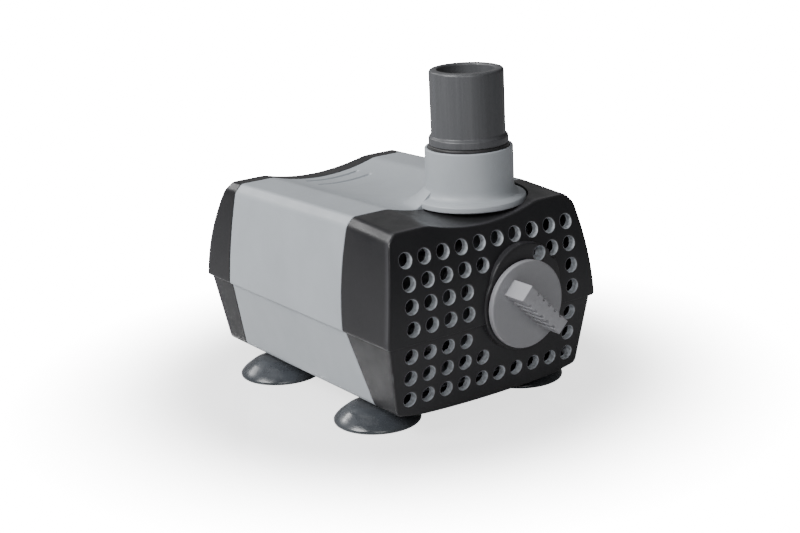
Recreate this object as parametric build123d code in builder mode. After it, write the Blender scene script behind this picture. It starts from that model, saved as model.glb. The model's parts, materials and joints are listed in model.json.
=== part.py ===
from build123d import *
import os
from math import atan2, degrees, sqrt

# Fountain submersible pump, millimetres. +Z up, front (strainer) side facing -Y.
# The origin lies on the floor plane, under the centre of the pump's bounding box.

# ---------------------------------------------------------------- driving dimensions
# outer casing, measured from the plane of the front face and from the floor
body_length = 94.3          # front face to rear face, at the waist
half_width = 35.2           # at the waist
waist_z = 27.1              # lower edge of the upper shell
waist_step = 1.0            # the lower shell is set in by this much all round
shoulder_inset = 4.2        # where the side wall meets the shoulder bevel, in from the waist
shoulder_drop = 2.2
shoulder_bevel = 2.2
side_bulge = 0.55           # how far the side wall bows out of a straight line
crest_half_width = 18.0     # the two creases that edge the saddle
saddle_depth = 2.7
top_front_z = 56.1          # flat of the shoulder at the front face
top_cover_z = 57.6          # the same at the front parting line
top_rear_z = 56.0           # the same at the rear face
upper_front_radius = 82.0   # the upper front face is an upright arc
upper_rear_radius = 50.0
upper_front_level = 30.0    # height where the front arc is upright
upper_rear_level = 27.8
lower_lean = 0.136          # millimetres back for every millimetre down
base_inset = 4.3            # lower corner of the side wall, in from the waist
base_corner_z = 7.1
base_bevel = 7.9            # from that corner to the flat of the base
base_flat_z = 5.6
base_centre_z = 4.8
wall = 2.2                  # casing wall
seam = 0.2                  # gap at every parting line
ceiling_z = 51.6            # flat inner ceiling of the casing
ceiling_corner = 0.2        # the hollow is this much wider than the shoulder's inside, at the ceiling
corner_height = 8.0         # height of the straight part of the hollow's front corner
past = 20.0                 # how far a cutting shape runs past what it cuts

# parting lines in side view, from the front face
front_part_waist = 21.5
front_part_mid = 23.0
front_part_top = 22.6
front_part_base = 13.4
rear_part = 81.3

# tongues that hold the front cover, one on each side wall
tongue_z = 36.0
tongue_height = 10.0
tongue_gap = 0.4            # between a tongue and the housing wall
tongue_thickness = 1.5
tongue_root = 4.2
tongue_reach = 6.0          # past the parting line

# strainer grille
hole_radius = 1.95
grille_depth = 8.0          # the holes are cut from this far behind the face
hole_margin = 5.2           # from the waist to the outer edge of the field of holes
hole_columns = 10
upper_row_pitch = 6.03
lower_row_pitch = 6.15
fourth_row_z = 31.3
fifth_row_z = 23.45
all_columns = range(1, hole_columns + 1)
open_columns = {
    1: all_columns,
    2: (1, 2, 3, 4, 5, 8, 9, 10),
    3: (1, 2, 3, 4, 10),
    4: (1, 2, 3, 4, 10),
    5: (1, 2, 3, 4, 10),
    6: (1, 2, 3, 4, 5, 10),
    7: all_columns,
}

# pump axis, shared by the dial, the gate, the impeller and the rotor
axis_inset = 26.2           # in from the right side of the waist
axis_z = 30.65

# flow dial and the raised pad it turns on
dial_radius = 12.15
dial_thickness = 1.7
pad_height = 0.6
pad_sink = 3.0              # how deep the pad's body reaches into the curved wall
boss_depth = 2.0            # of the dial's boss, behind the wall
boss_wall = 2.0
pad_margin = 0.8
pad_top_radius = 12.1
pad_top_shift_x = 1.1
pad_top_rise = 4.35
turn_gap = 0.25             # between parts that turn on each other
grip_length = 17.5
grip_width = 4.9
grip_tip_width = 4.3
grip_height = 7.45
grip_angle = -45.0
grip_notches = 5
notch_radius = 0.55
notch_pitch = 2.7
dial_edge = 0.3             # bevel round the dial
dial_stem_radius = 2.4
run_clearance = 0.08        # radial, shaft in a bore
gate_radius = 10.4
gate_thickness = 1.2
gate_hub_radius = 4.0

# outlet
outlet_from_face = 21.1
outlet_z_top = 92.0
nozzle_radius = 10.2
nozzle_bore = 7.8
nozzle_ring_step = 0.72     # the locating ring and the spigot are larger than the barrel
nozzle_ring_z = 71.7
nozzle_ring_height = 2.5
nozzle_ring_edge = 0.3      # bevel from the locating ring to the barrel
nozzle_lip = 0.8            # bevel round the mouth
spigot_step = 0.7
spigot_gap = 0.3            # radial, in the collar
spigot_chamfer = 1.0
spigot_length = 8.9
seal_groove_step = 0.8      # the seal's groove is smaller than the barrel
collar_wall = 0.95
collar_z_top = 70.8
collar_depth = 10.0
collar_split_z = 60.5       # the collar is bonded into the flange below this level
collar_foot_radius = 11.4
collar_foot_depth = 1.7
flange_margin = 3.21        # the flange is larger than the collar
flange_bottom_z = 55.3
flange_edge = 1.6
flange_cone = 0.7
flange_root = 0.4           # the fillet's middle stands off the collar by this much
flange_root_rise = 0.9
flange_gap = 0.5            # between the flange and the front cover
stub_radius = 9.6           # pump outlet stub that rises into the collar
stub_bore = 7.2
stub_engagement = 4.0
stub_head_room = 1.0
stub_slot_gap = 0.7
ring_section = 1.7          # nozzle sealing ring, across its section
ring_gap = 0.1
groove_distances = (70.3, 77.0)  # finger grooves across the saddle, from the front face
groove_half_length = 9.0
groove_shift_x = 0.2
groove_width = 0.7
groove_depth = 0.7

# pump chamber, distances from the front face
chamber_radius = 16.0
chamber_wall = 2.4
chamber_front = 14.6
chamber_back = 28.6
casing_back_wall = 2.2
cover_plate = 2.0
intake_inner = 5.0
intake_outer = 9.0
spoke_angle = 8.0
seal_section = 1.6
seal_depth = 1.1
spigot_ring_wall = 2.3      # of the chamber cover, inside the chamber mouth
spigot_ring_depth = 2.6
ear_stand = 2.1             # from the chamber's outside to the middle of a screw ear
ear_radius = 3.2
ear_length = 4.2
screw_radius = 1.4
screw_length = 8.8
screw_head_radius = 2.7
screw_head_height = 1.8
screw_slot = 0.7
screw_boss_radius = 2.8
screw_boss_length = 5.0

# rotor and shaft
shaft_radius = 1.5
rotor_radius = 9.3
rotor_front = 35.8
rotor_length = 27.0
impeller_hub_radius = 3.4
impeller_gap = 1.8          # radial, in the chamber
impeller_front = 18.2
blade_depth = 8.4
blade_thickness = 1.3
blade_root = 0.6            # how far the blades sink into the hub and stand past the disc
blade_count = 6
well_radius = 10.1          # inside of the rotor well
well_wall = 1.4
well_depth = 36.5
well_end = 2.0
bushing_radius = 3.4
bushing_length = 3.2
bushing_cup_wall = 1.2
hub_end = 0.6
back_disc = 1.0
shaft_end_gap = 0.4

# motor
case_half_height = 19.6
case_left_room = 6.7        # from the waist of the casing to the motor case
case_right_room = 7.7
case_wall = 1.6
case_length = 48.0
core_front = 40.8
core_depth = 20.0
core_half_height = 14.4
arm_height = 8.0
yoke_room = 2.9             # from the motor case to the yoke
yoke_width = 7.0
pole_web = 0.1              # from the rotor well to the coils' side of the poles
pole_rim = 0.9              # past the rotor well on the other side
pole_gap = 1.8
core_clearance = 0.1
bobbin_wall = 0.8
bobbin_flange = 0.8
winding_depth = 2.6
potting_length = 44.0
saddle_from_face = (40.0, 62.0)  # ribs under the motor case
saddle_half_width = 18.0
saddle_thickness = 2.0

# feet and cable inlet
cup_radius = 12.05
cup_inset = 5.6             # from the lower corner of the side wall
cup_from_face = (21.4, 71.2)
cup_height = 5.0
cup_lip = 0.8
cup_neck_radius = 2.3
cup_bulb_radius = 3.2
cup_shoulder_radius = 4.6
cup_bulb_height = 1.6
cup_bulb_lift = 1.6
cup_web = 0.9
socket_gap = 0.2
cup_bulge = (0.7, 0.6)      # how far the dome stands out of a straight cone
gland_x = -14.0
gland_z = 18.0
gland_radius = 5.0
gland_flange_radius = 6.6
gland_bore = 3.2
gland_outer_set = 0.2
gland_lean_room = 1.9
gland_flange_length = 2.4
gland_reach = 4.2           # how far the gland stands behind the rear face

# ---------------------------------------------------------------- derived places
dial_reach = pad_height + turn_gap + dial_thickness + grip_height
face_y = -(dial_reach + body_length + gland_reach) / 2 + dial_reach
rear_y = face_y + body_length
outlet_y = face_y + outlet_from_face
lower_half_width = half_width - waist_step
shoulder_half_width = half_width - shoulder_inset
base_half_width = half_width - base_inset
base_flat_half_width = base_half_width - base_bevel
axis_x = half_width - axis_inset
hole_pitch = 2 * (half_width - hole_margin) / hole_columns
ceiling_half_width = shoulder_half_width - wall + ceiling_corner
nozzle_ring_radius = nozzle_radius + nozzle_ring_step
spigot_radius = nozzle_radius + spigot_step
seal_groove_radius = nozzle_radius - seal_groove_step
collar_bore = spigot_radius + spigot_gap
collar_radius = collar_bore + collar_wall
flange_radius = collar_radius + flange_margin
cup_x = base_half_width - cup_inset
pad_face_y = face_y - pad_height
dial_back_y = pad_face_y - turn_gap
dial_face_y = dial_back_y - dial_thickness
chamber_front_y = face_y + chamber_front
chamber_back_y = face_y + chamber_back
case_front_y = chamber_back_y + casing_back_wall
casing_radius = chamber_radius + chamber_wall
cover_plate_y = chamber_front_y - cover_plate
gate_back_y = cover_plate_y - turn_gap
gate_front_y = gate_back_y - gate_thickness
core_front_y = face_y + core_front
case_bottom_z = axis_z - case_half_height
rotor_front_y = face_y + rotor_front
well_end_y = case_front_y + well_depth
spigot_inner_radius = chamber_radius - spigot_ring_wall
seal_inner_radius = chamber_radius - seal_depth
seal_front_y = chamber_front_y + (spigot_ring_depth - seal_section) / 2
ear_offset = (casing_radius + ear_stand) / sqrt(2)
impeller_radius = chamber_radius - impeller_gap
case_left_x = case_left_room - half_width
case_right_x = half_width - case_right_room
yoke_left_x = case_left_x + yoke_room
pole_start_x = axis_x - well_radius - well_wall - pole_web
pole_right_x = axis_x + well_radius + well_wall + pole_rim


def xz(y):
    """Plane facing the front, at distance y, with local axes X and Z."""
    return Plane.XZ.offset(-y)


def about_pump_axis(y):
    """The same plane with its origin on the pump axis."""
    return Plane(origin=(axis_x, y, axis_z), x_dir=(1, 0, 0), z_dir=(0, -1, 0))


def about_outlet(z):
    """Level plane with its origin on the outlet axis."""
    return Plane(origin=(axis_x, outlet_y, z), x_dir=(1, 0, 0), z_dir=(0, 0, 1))


# ---------------------------------------------------------------- casing envelopes
def upper_outline(y, top):
    """Cross-section of the upper casing: bowed sides, bevelled shoulders and a saddle between two creases."""
    shoulder_z = top - shoulder_drop
    bow_z = (waist_z + shoulder_z) / 2
    bow_x = (half_width + shoulder_half_width) / 2 + side_bulge
    flat_x = shoulder_half_width - shoulder_bevel
    with BuildSketch(xz(y)) as outline:
        with BuildLine():
            Line((-half_width, waist_z), (half_width, waist_z))
            ThreePointArc((half_width, waist_z), (bow_x, bow_z), (shoulder_half_width, shoulder_z))
            Line((shoulder_half_width, shoulder_z), (flat_x, top))
            Line((flat_x, top), (crest_half_width, top))
            ThreePointArc((crest_half_width, top), (0, top - saddle_depth), (-crest_half_width, top))
            Line((-crest_half_width, top), (-flat_x, top))
            Line((-flat_x, top), (-shoulder_half_width, shoulder_z))
            ThreePointArc((-shoulder_half_width, shoulder_z), (-bow_x, bow_z), (-half_width, waist_z))
        make_face()
    return outline.sketch


def upper_envelope():
    """Solid outer form of the casing above the waist."""
    crest_y = face_y + front_part_top
    sag_front = (top_cover_z - upper_front_level) ** 2 / (2 * upper_front_radius)
    sag_rear = (top_cover_z - upper_rear_level) ** 2 / (2 * upper_rear_radius)
    mid_z = (waist_z + top_cover_z) / 2
    front_mid = (mid_z - upper_front_level) ** 2 / (2 * upper_front_radius)
    rear_mid = (mid_z - upper_rear_level) ** 2 / (2 * upper_rear_radius)
    with BuildPart() as block:
        add(upper_outline(face_y - 1, top_front_z))
        add(upper_outline(crest_y, top_cover_z))
        loft(ruled=True)
        add(upper_outline(crest_y, top_cover_z))
        add(upper_outline(rear_y + 1, top_rear_z))
        loft(ruled=True)
        with BuildSketch(Plane.YZ):
            with BuildLine():
                Line((face_y, waist_z), (rear_y, waist_z))
                ThreePointArc((rear_y, waist_z), (rear_y - rear_mid, mid_z), (rear_y - sag_rear, top_cover_z))
                Line((rear_y - sag_rear, top_cover_z), (face_y + sag_front, top_cover_z))
                ThreePointArc(
                    (face_y + sag_front, top_cover_z), (face_y + front_mid, mid_z), (face_y, waist_z)
                )
            make_face()
        extrude(amount=2 * half_width, both=True, mode=Mode.INTERSECT)
    return block.part


def lower_envelope(inset=0.0):
    """Solid outer form of the casing below the waist, or the same set in by a wall thickness."""
    top_half = lower_half_width - inset
    base_half = base_half_width - inset
    flat_half = base_flat_half_width - inset
    corner_z, flat_z, centre_z = (z + inset for z in (base_corner_z, base_flat_z, base_centre_z))
    lean = (waist_z - base_centre_z) * lower_lean
    front = face_y + waist_step + inset
    back = rear_y - waist_step - inset
    with BuildPart() as block:
        with BuildSketch(xz(rear_y)):
            with BuildLine():
                Line((-top_half, waist_z), (top_half, waist_z))
                Line((top_half, waist_z), (base_half, corner_z))
                Line((base_half, corner_z), (flat_half, flat_z))
                ThreePointArc((flat_half, flat_z), (0, centre_z), (-flat_half, flat_z))
                Line((-flat_half, flat_z), (-base_half, corner_z))
                Line((-base_half, corner_z), (-top_half, waist_z))
            make_face()
        extrude(amount=body_length)
        with BuildSketch(Plane.YZ):
            with BuildLine():
                Polyline(
                    (front, waist_z), (back, waist_z),
                    (back - lean, base_centre_z), (front + lean, base_centre_z),
                    close=True,
                )
            make_face()
        extrude(amount=2 * half_width, both=True, mode=Mode.INTERSECT)
    return block.part


def upper_hollow():
    """Inside of the upper casing, with a flat ceiling under the saddle."""
    front_top = face_y + wall + (ceiling_z - upper_front_level) ** 2 / (2 * upper_front_radius)
    rear_top = rear_y - wall - (ceiling_z - upper_rear_level) ** 2 / (2 * upper_rear_radius)
    with BuildPart() as hollow:
        with BuildSketch(xz(rear_y)):
            with BuildLine():
                Line((-half_width + wall, waist_z - 1), (half_width - wall, waist_z - 1))
                Line((half_width - wall, waist_z - 1), (half_width - wall, waist_z))
                Line((half_width - wall, waist_z), (ceiling_half_width, ceiling_z))
                Line((ceiling_half_width, ceiling_z), (-ceiling_half_width, ceiling_z))
                Line((-ceiling_half_width, ceiling_z), (-half_width + wall, waist_z))
                Line((-half_width + wall, waist_z), (-half_width + wall, waist_z - 1))
            make_face()
        extrude(amount=body_length)
        with BuildSketch(Plane.YZ):
            with BuildLine():
                Polyline(
                    (face_y + wall, waist_z - 1), (rear_y - wall, waist_z - 1), (rear_y - wall, waist_z),
                    (rear_top, ceiling_z), (front_top, ceiling_z), (face_y + wall, waist_z + corner_height),
                    close=True,
                )
            make_face()
        extrude(amount=2 * half_width, both=True, mode=Mode.INTERSECT)
    return hollow.part


def hollow_side(z):
    """Half-width of the upper hollow at a height."""
    share = (z - waist_z) / (ceiling_z - waist_z)
    return half_width - wall + (ceiling_half_width - half_width + wall) * share


def front_zone(gap):
    """Everything ahead of the front parting line, pulled forward by a gap."""
    y = face_y - gap
    with BuildPart() as zone:
        with BuildSketch(Plane.YZ):
            with BuildLine():
                Line((face_y - past, 0), (y + front_part_base, 0))
                Line((y + front_part_base, 0), (y + front_part_base, base_centre_z))
                Line((y + front_part_base, base_centre_z), (y + front_part_waist, waist_z))
                ThreePointArc(
                    (y + front_part_waist, waist_z), (y + front_part_mid, (waist_z + top_cover_z) / 2),
                    (y + front_part_top, top_cover_z + wall),
                )
                Line((y + front_part_top, top_cover_z + wall), (y + front_part_top, top_cover_z + past))
                Line((y + front_part_top, top_cover_z + past), (face_y - past, top_cover_z + past))
                Line((face_y - past, top_cover_z + past), (face_y - past, 0))
            make_face()
        extrude(amount=2 * half_width, both=True)
    return zone.part


def rear_zone(gap):
    """Everything behind the rear parting line."""
    with BuildPart() as zone:
        with BuildSketch(Plane.XY):
            with Locations((0, face_y + rear_part + gap + body_length / 2)):
                Rectangle(4 * half_width, body_length)
        extrude(amount=2 * top_cover_z)
    return zone.part


upper_form = upper_envelope()
lower_form = lower_envelope()
upper_inside = upper_hollow()
lower_inside = lower_envelope(wall)


# ---------------------------------------------------------------- front strainer cover
def dial_pad():
    """Raised pad: a disc round the dial joined to a second disc above it."""
    with BuildPart() as pad:
        with BuildSketch(about_pump_axis(face_y + pad_sink)):
            Circle(dial_radius + pad_margin)
            with Locations((pad_top_shift_x, pad_top_rise)):
                Circle(pad_top_radius)
        extrude(amount=pad_sink + pad_height)
    return pad.part


def grille_points():
    """Centres of the strainer holes: four rows above the waist and three below."""
    points = []
    for row, columns in open_columns.items():
        if row <= 4:
            z = fourth_row_z + (4 - row) * upper_row_pitch
        else:
            z = fifth_row_z - (row - 5) * lower_row_pitch
        for column in columns:
            points.append(((column - (hole_columns + 1) / 2) * hole_pitch, z))
    return points


with BuildPart() as front_cover:
    add(upper_form)
    add(lower_form)
    add(front_zone(seam), mode=Mode.INTERSECT)
    add(upper_inside, mode=Mode.SUBTRACT)
    add(lower_inside, mode=Mode.SUBTRACT)
    add(dial_pad())
    tongue_x = hollow_side(tongue_z + tongue_height) - tongue_gap - tongue_thickness
    root_end_y = face_y + front_part_waist - seam
    for side in (-1, 1):
        with BuildSketch(Plane.XY.offset(tongue_z)):
            with Locations((side * (tongue_x + tongue_root / 2), root_end_y - tongue_reach / 2)):
                Rectangle(tongue_root, tongue_reach)
            with Locations((side * (tongue_x + tongue_thickness / 2), root_end_y)):
                Rectangle(tongue_thickness, 2 * tongue_reach)
        extrude(amount=tongue_height)
    with BuildSketch(about_pump_axis(face_y + wall + boss_depth)):
        Circle(dial_stem_radius + boss_wall)
    extrude(amount=boss_depth + wall / 2)
    with BuildSketch(xz(face_y + grille_depth)):
        with Locations(*grille_points()):
            Circle(hole_radius)
    extrude(amount=past, mode=Mode.SUBTRACT)
    with BuildSketch(about_pump_axis(face_y + grille_depth)):
        Circle(dial_stem_radius + run_clearance)
    extrude(amount=past, mode=Mode.SUBTRACT)
    with BuildSketch(about_outlet(flange_bottom_z - flange_gap)):
        Circle(flange_radius + flange_gap)
    extrude(amount=past, mode=Mode.SUBTRACT)
    with BuildSketch(about_outlet((ceiling_z + axis_z) / 2)):
        Circle(stub_radius + stub_slot_gap)
        with Locations((0, flange_radius)):
            Rectangle(2 * (stub_radius + stub_slot_gap), 2 * flange_radius)
    extrude(amount=past, mode=Mode.SUBTRACT)


# ---------------------------------------------------------------- fixed casing
def outlet_flange():
    """Flange turned round the outlet axis, with a fillet up to the collar and the bore still solid."""
    top = flange_bottom_z + flange_edge
    root_radius = (flange_radius + collar_radius) / 2
    with BuildPart() as flange:
        with BuildSketch(Plane.XZ):
            with BuildLine():
                Line((0, flange_bottom_z), (flange_radius, flange_bottom_z))
                Line((flange_radius, flange_bottom_z), (flange_radius, top))
                Line((flange_radius, top), (root_radius, top + flange_cone))
                ThreePointArc(
                    (root_radius, top + flange_cone),
                    (collar_radius + flange_root, top + flange_cone + flange_root_rise),
                    (collar_radius, collar_split_z),
                )
                Line((collar_radius, collar_split_z), (0, collar_split_z))
                Line((0, collar_split_z), (0, flange_bottom_z))
            make_face()
        revolve(axis=Axis.Z)
    return Pos(axis_x, outlet_y, 0) * flange.part


def crest_z(y):
    """Height of the two creases behind the front parting line."""
    crest_y = face_y + front_part_top
    return top_cover_z + (top_rear_z - top_cover_z) * (y - crest_y) / (rear_y + 1 - crest_y)


def saddle_z(x, y):
    """Height of the saddle: a circular dip between the creases."""
    radius = (crest_half_width**2 + saddle_depth**2) / (2 * saddle_depth)
    return crest_z(y) - saddle_depth + radius - sqrt(radius**2 - x**2)


with BuildPart() as upper_housing:
    add(upper_form)
    add(front_zone(0), mode=Mode.SUBTRACT)
    add(rear_zone(-seam), mode=Mode.SUBTRACT)
    add(upper_inside, mode=Mode.SUBTRACT)
    add(outlet_flange())
    with BuildSketch(about_outlet(axis_z)):
        Circle(stub_radius + ring_gap)
    extrude(amount=collar_z_top - axis_z, mode=Mode.SUBTRACT)
    with BuildSketch(about_outlet(collar_split_z)):
        Circle(collar_foot_radius)
    extrude(amount=-collar_foot_depth, mode=Mode.SUBTRACT)
    for distance in groove_distances:
        groove_y = face_y + distance
        left, right = groove_shift_x - groove_half_length, groove_shift_x + groove_half_length
        left_z, mid_z, right_z = (saddle_z(x, groove_y) for x in (left, groove_shift_x, right))
        with BuildSketch(xz(groove_y)):
            with BuildLine():
                ThreePointArc((left, left_z), (groove_shift_x, mid_z - groove_depth), (right, right_z))
                Line((right, right_z), (right, top_cover_z + past))
                Line((right, top_cover_z + past), (left, top_cover_z + past))
                Line((left, top_cover_z + past), (left, left_z))
            make_face()
        extrude(amount=groove_width, mode=Mode.SUBTRACT)

with BuildPart() as outlet_collar:
    with BuildSketch(about_outlet(collar_split_z)):
        Circle(collar_radius)
    extrude(amount=collar_z_top - collar_split_z)
    with BuildSketch(about_outlet(collar_split_z)):
        Circle(collar_foot_radius)
    extrude(amount=-collar_foot_depth)
    with BuildSketch(about_outlet(axis_z)):
        Circle(stub_bore)
    extrude(amount=collar_z_top - axis_z, mode=Mode.SUBTRACT)
    with BuildSketch(about_outlet(axis_z)):
        Circle(stub_radius + ring_gap)
    extrude(amount=flange_bottom_z + stub_engagement + stub_head_room - axis_z, mode=Mode.SUBTRACT)
    with BuildSketch(about_outlet(collar_z_top)):
        Circle(collar_bore)
    extrude(amount=-collar_depth, mode=Mode.SUBTRACT)

with BuildPart() as lower_housing:
    add(lower_form)
    with BuildSketch(Plane.XY.offset(waist_z - seam)):
        Rectangle(4 * half_width, 2 * body_length)
    extrude(amount=past, mode=Mode.SUBTRACT)
    add(front_zone(0), mode=Mode.SUBTRACT)
    add(rear_zone(-seam), mode=Mode.SUBTRACT)
    add(lower_inside, mode=Mode.SUBTRACT)
    for distance in cup_from_face:
        with BuildSketch(Plane.XY):
            with Locations((-cup_x, face_y + distance), (cup_x, face_y + distance)):
                Circle(cup_neck_radius + socket_gap)
        extrude(amount=waist_z / 2, mode=Mode.SUBTRACT)
    for distance in saddle_from_face:
        with BuildSketch(xz(face_y + distance)):
            with Locations((0, (base_flat_z + wall / 2 + case_bottom_z) / 2)):
                Rectangle(2 * saddle_half_width, case_bottom_z - base_flat_z - wall / 2)
        extrude(amount=saddle_thickness)

with BuildPart() as rear_cap:
    add(upper_form)
    add(lower_form)
    add(rear_zone(0), mode=Mode.INTERSECT)
    add(upper_inside, mode=Mode.SUBTRACT)
    add(lower_inside, mode=Mode.SUBTRACT)
    with BuildSketch(Plane.XZ.offset(-rear_y)):
        with Locations((gland_x, gland_z)):
            Circle(gland_radius + socket_gap / 2)
    extrude(amount=body_length - rear_part, mode=Mode.SUBTRACT)


def along_y(profile_points, x, z):
    """Solid of revolution about a front-to-back axis, from (radius, y) points."""
    with BuildPart() as turned:
        with BuildSketch(Plane.XY):
            with BuildLine():
                Polyline(*profile_points, close=True)
            make_face()
        revolve(axis=Axis.Y)
    return Pos(x, 0, z) * turned.part


def ring_about_pump(inner, outer, front, back):
    """Plain ring or disc about the pump axis between two distances."""
    with BuildPart() as ring:
        with BuildSketch(about_pump_axis(back)):
            Circle(outer)
            if inner > 0:
                Circle(inner, mode=Mode.SUBTRACT)
        extrude(amount=back - front)
    return ring.part


# ---------------------------------------------------------------- outlet nozzle
nozzle_seat_z = nozzle_ring_z - ring_section
spigot_end_z = nozzle_seat_z - spigot_length
ring_top_z = nozzle_ring_z + nozzle_ring_height
with BuildPart() as outlet_nozzle:
    with BuildSketch(Plane.XZ):
        with BuildLine():
            Polyline(
                (nozzle_bore, spigot_end_z),
                (spigot_radius - spigot_chamfer, spigot_end_z),
                (spigot_radius, spigot_end_z + spigot_chamfer),
                (spigot_radius, nozzle_seat_z),
                (seal_groove_radius, nozzle_seat_z),
                (seal_groove_radius, nozzle_ring_z),
                (nozzle_ring_radius, nozzle_ring_z),
                (nozzle_ring_radius, ring_top_z - nozzle_ring_edge),
                (nozzle_radius, ring_top_z),
                (nozzle_radius, outlet_z_top - nozzle_lip),
                (nozzle_radius - nozzle_lip, outlet_z_top),
                (nozzle_bore, outlet_z_top),
                close=True,
            )
        make_face()
    revolve(axis=Axis.Z)
outlet_nozzle.part = Pos(axis_x, outlet_y, 0) * outlet_nozzle.part

with BuildPart() as nozzle_seal:
    with BuildSketch(about_outlet(nozzle_seat_z)):
        Circle(collar_bore - ring_gap)
        Circle(seal_groove_radius, mode=Mode.SUBTRACT)
    extrude(amount=ring_section)

# ---------------------------------------------------------------- dial and throttle gate
with BuildPart() as flow_dial:
    with BuildSketch(about_pump_axis(dial_back_y)):
        Circle(dial_radius)
    extrude(amount=dial_thickness)
    chamfer(flow_dial.faces().sort_by(Axis.Y)[0].edges(), dial_edge)
    with BuildSketch(about_pump_axis(gate_back_y)):
        Circle(dial_stem_radius)
    extrude(amount=gate_back_y - dial_back_y)
    with BuildSketch(about_pump_axis(dial_face_y)):
        with Locations(Rotation(0, 0, grip_angle)):
            taper = degrees(atan2((grip_width - grip_tip_width) / 2, grip_length))
            Trapezoid(grip_width, grip_length, 90 - taper, rotation=-90)
            for place in range(grip_notches):
                along = (place - (grip_notches - 1) / 2) * notch_pitch
                half = (grip_width + (grip_tip_width - grip_width) * (along / grip_length + 0.5)) / 2
                with Locations((along, half), (along, -half)):
                    Circle(notch_radius, mode=Mode.SUBTRACT)
    extrude(amount=grip_height)

with BuildPart() as throttle_gate:
    with BuildSketch(about_pump_axis(gate_back_y)):
        Circle(gate_radius)
        for side in (0, 180):
            with BuildLine(mode=Mode.PRIVATE) as opening:
                CenterArc((0, 0), gate_radius + 1, side, 90)
            with BuildLine():
                Line((0, 0), opening.line @ 0)
                add(opening.line)
                Line(opening.line @ 1, (0, 0))
            make_face(mode=Mode.SUBTRACT)
        Circle(gate_hub_radius)
    extrude(amount=gate_thickness)
    with BuildSketch(about_pump_axis(gate_back_y)):
        Circle(gate_hub_radius)
    extrude(amount=gate_back_y - (face_y + wall + boss_depth + turn_gap))
    with BuildSketch(about_pump_axis(gate_back_y)):
        Circle(dial_stem_radius)
    extrude(amount=body_length, mode=Mode.SUBTRACT)

# ---------------------------------------------------------------- pump chamber
screw_places = [(side * ear_offset, height * ear_offset) for side in (-1, 1) for height in (-1, 1)]

with BuildPart() as pump_casing:
    with BuildSketch(about_pump_axis(case_front_y)):
        Circle(casing_radius)
    extrude(amount=case_front_y - chamber_front_y)
    with BuildSketch(about_outlet(axis_z)):
        Circle(stub_radius)
    extrude(amount=flange_bottom_z + stub_engagement - ring_gap - axis_z)
    with BuildSketch(about_pump_axis(chamber_front_y)):
        Circle(casing_radius + ring_gap)
    extrude(amount=stub_radius, mode=Mode.SUBTRACT)
    with BuildSketch(about_pump_axis(case_front_y)):
        with Locations(*screw_places):
            Circle(ear_radius)
    extrude(amount=ear_length)
    with BuildSketch(about_pump_axis(chamber_back_y)):
        Circle(chamber_radius)
    extrude(amount=2 * chamber_radius, mode=Mode.SUBTRACT)
    with BuildSketch(about_outlet(axis_z)):
        Circle(stub_bore)
    extrude(amount=collar_z_top - axis_z, mode=Mode.SUBTRACT)
    with BuildSketch(about_pump_axis(case_front_y - ear_length)):
        with Locations(*screw_places):
            Circle(ear_radius)
    extrude(amount=casing_radius, mode=Mode.SUBTRACT)
    with BuildSketch(about_pump_axis(case_front_y)):
        Circle(well_radius)
    extrude(amount=casing_back_wall, mode=Mode.SUBTRACT)
    with BuildSketch(about_pump_axis(case_front_y)):
        with Locations(*screw_places):
            Circle(screw_radius + ring_gap)
    extrude(amount=2 * ear_length, mode=Mode.SUBTRACT)

with BuildPart() as chamber_cover:
    with BuildSketch(about_pump_axis(chamber_front_y)):
        Circle(casing_radius)
    extrude(amount=cover_plate)
    add(ring_about_pump(
        spigot_inner_radius, chamber_radius - ring_gap, chamber_front_y, chamber_front_y + spigot_ring_depth
    ))
    add(ring_about_pump(
        seal_inner_radius, chamber_radius, seal_front_y, seal_front_y + seal_section
    ), mode=Mode.SUBTRACT)
    add(ring_about_pump(
        bushing_radius, bushing_radius + bushing_cup_wall, chamber_front_y, chamber_front_y + bushing_length
    ))
    with BuildSketch(about_pump_axis(chamber_front_y)):
        for side in (0, 180):
            with BuildLine():
                inner = CenterArc((0, 0), intake_inner, side - 45 + spoke_angle / 2, 90 - spoke_angle)
                outer = CenterArc((0, 0), intake_outer, side - 45 + spoke_angle / 2, 90 - spoke_angle)
                Line(inner @ 0, outer @ 0)
                Line(inner @ 1, outer @ 1)
            make_face()
    extrude(amount=cover_plate, mode=Mode.SUBTRACT)

chamber_seal = ring_about_pump(seal_inner_radius, chamber_radius, seal_front_y, seal_front_y + seal_section)

with BuildPart() as casing_screws:
    with BuildSketch(about_pump_axis(case_front_y - ear_length)):
        with Locations(*screw_places):
            Circle(screw_head_radius)
    extrude(amount=screw_head_height)
    with BuildSketch(about_pump_axis(case_front_y - ear_length - screw_head_height)):
        with Locations(*screw_places):
            Rectangle(2 * screw_head_radius, screw_slot)
            Rectangle(screw_slot, 2 * screw_head_radius)
    extrude(amount=-screw_head_height / 2, mode=Mode.SUBTRACT)
    with BuildSketch(about_pump_axis(case_front_y - ear_length)):
        with Locations(*screw_places):
            Circle(screw_radius)
    extrude(amount=-screw_length)

# ---------------------------------------------------------------- rotor, impeller and shaft
rotor_back_y = rotor_front_y + rotor_length
with BuildPart() as impeller:
    add(ring_about_pump(
        shaft_radius + run_clearance, impeller_hub_radius, face_y + impeller_front, rotor_back_y + hub_end
    ))
    blade_back_y = face_y + impeller_front + blade_depth
    add(ring_about_pump(impeller_hub_radius, impeller_radius, blade_back_y, blade_back_y + back_disc))
    with BuildSketch(about_pump_axis(blade_back_y)):
        with PolarLocations((impeller_hub_radius + impeller_radius) / 2, blade_count):
            Rectangle(impeller_radius - impeller_hub_radius + blade_root, blade_thickness)
    extrude(amount=blade_depth)

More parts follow.
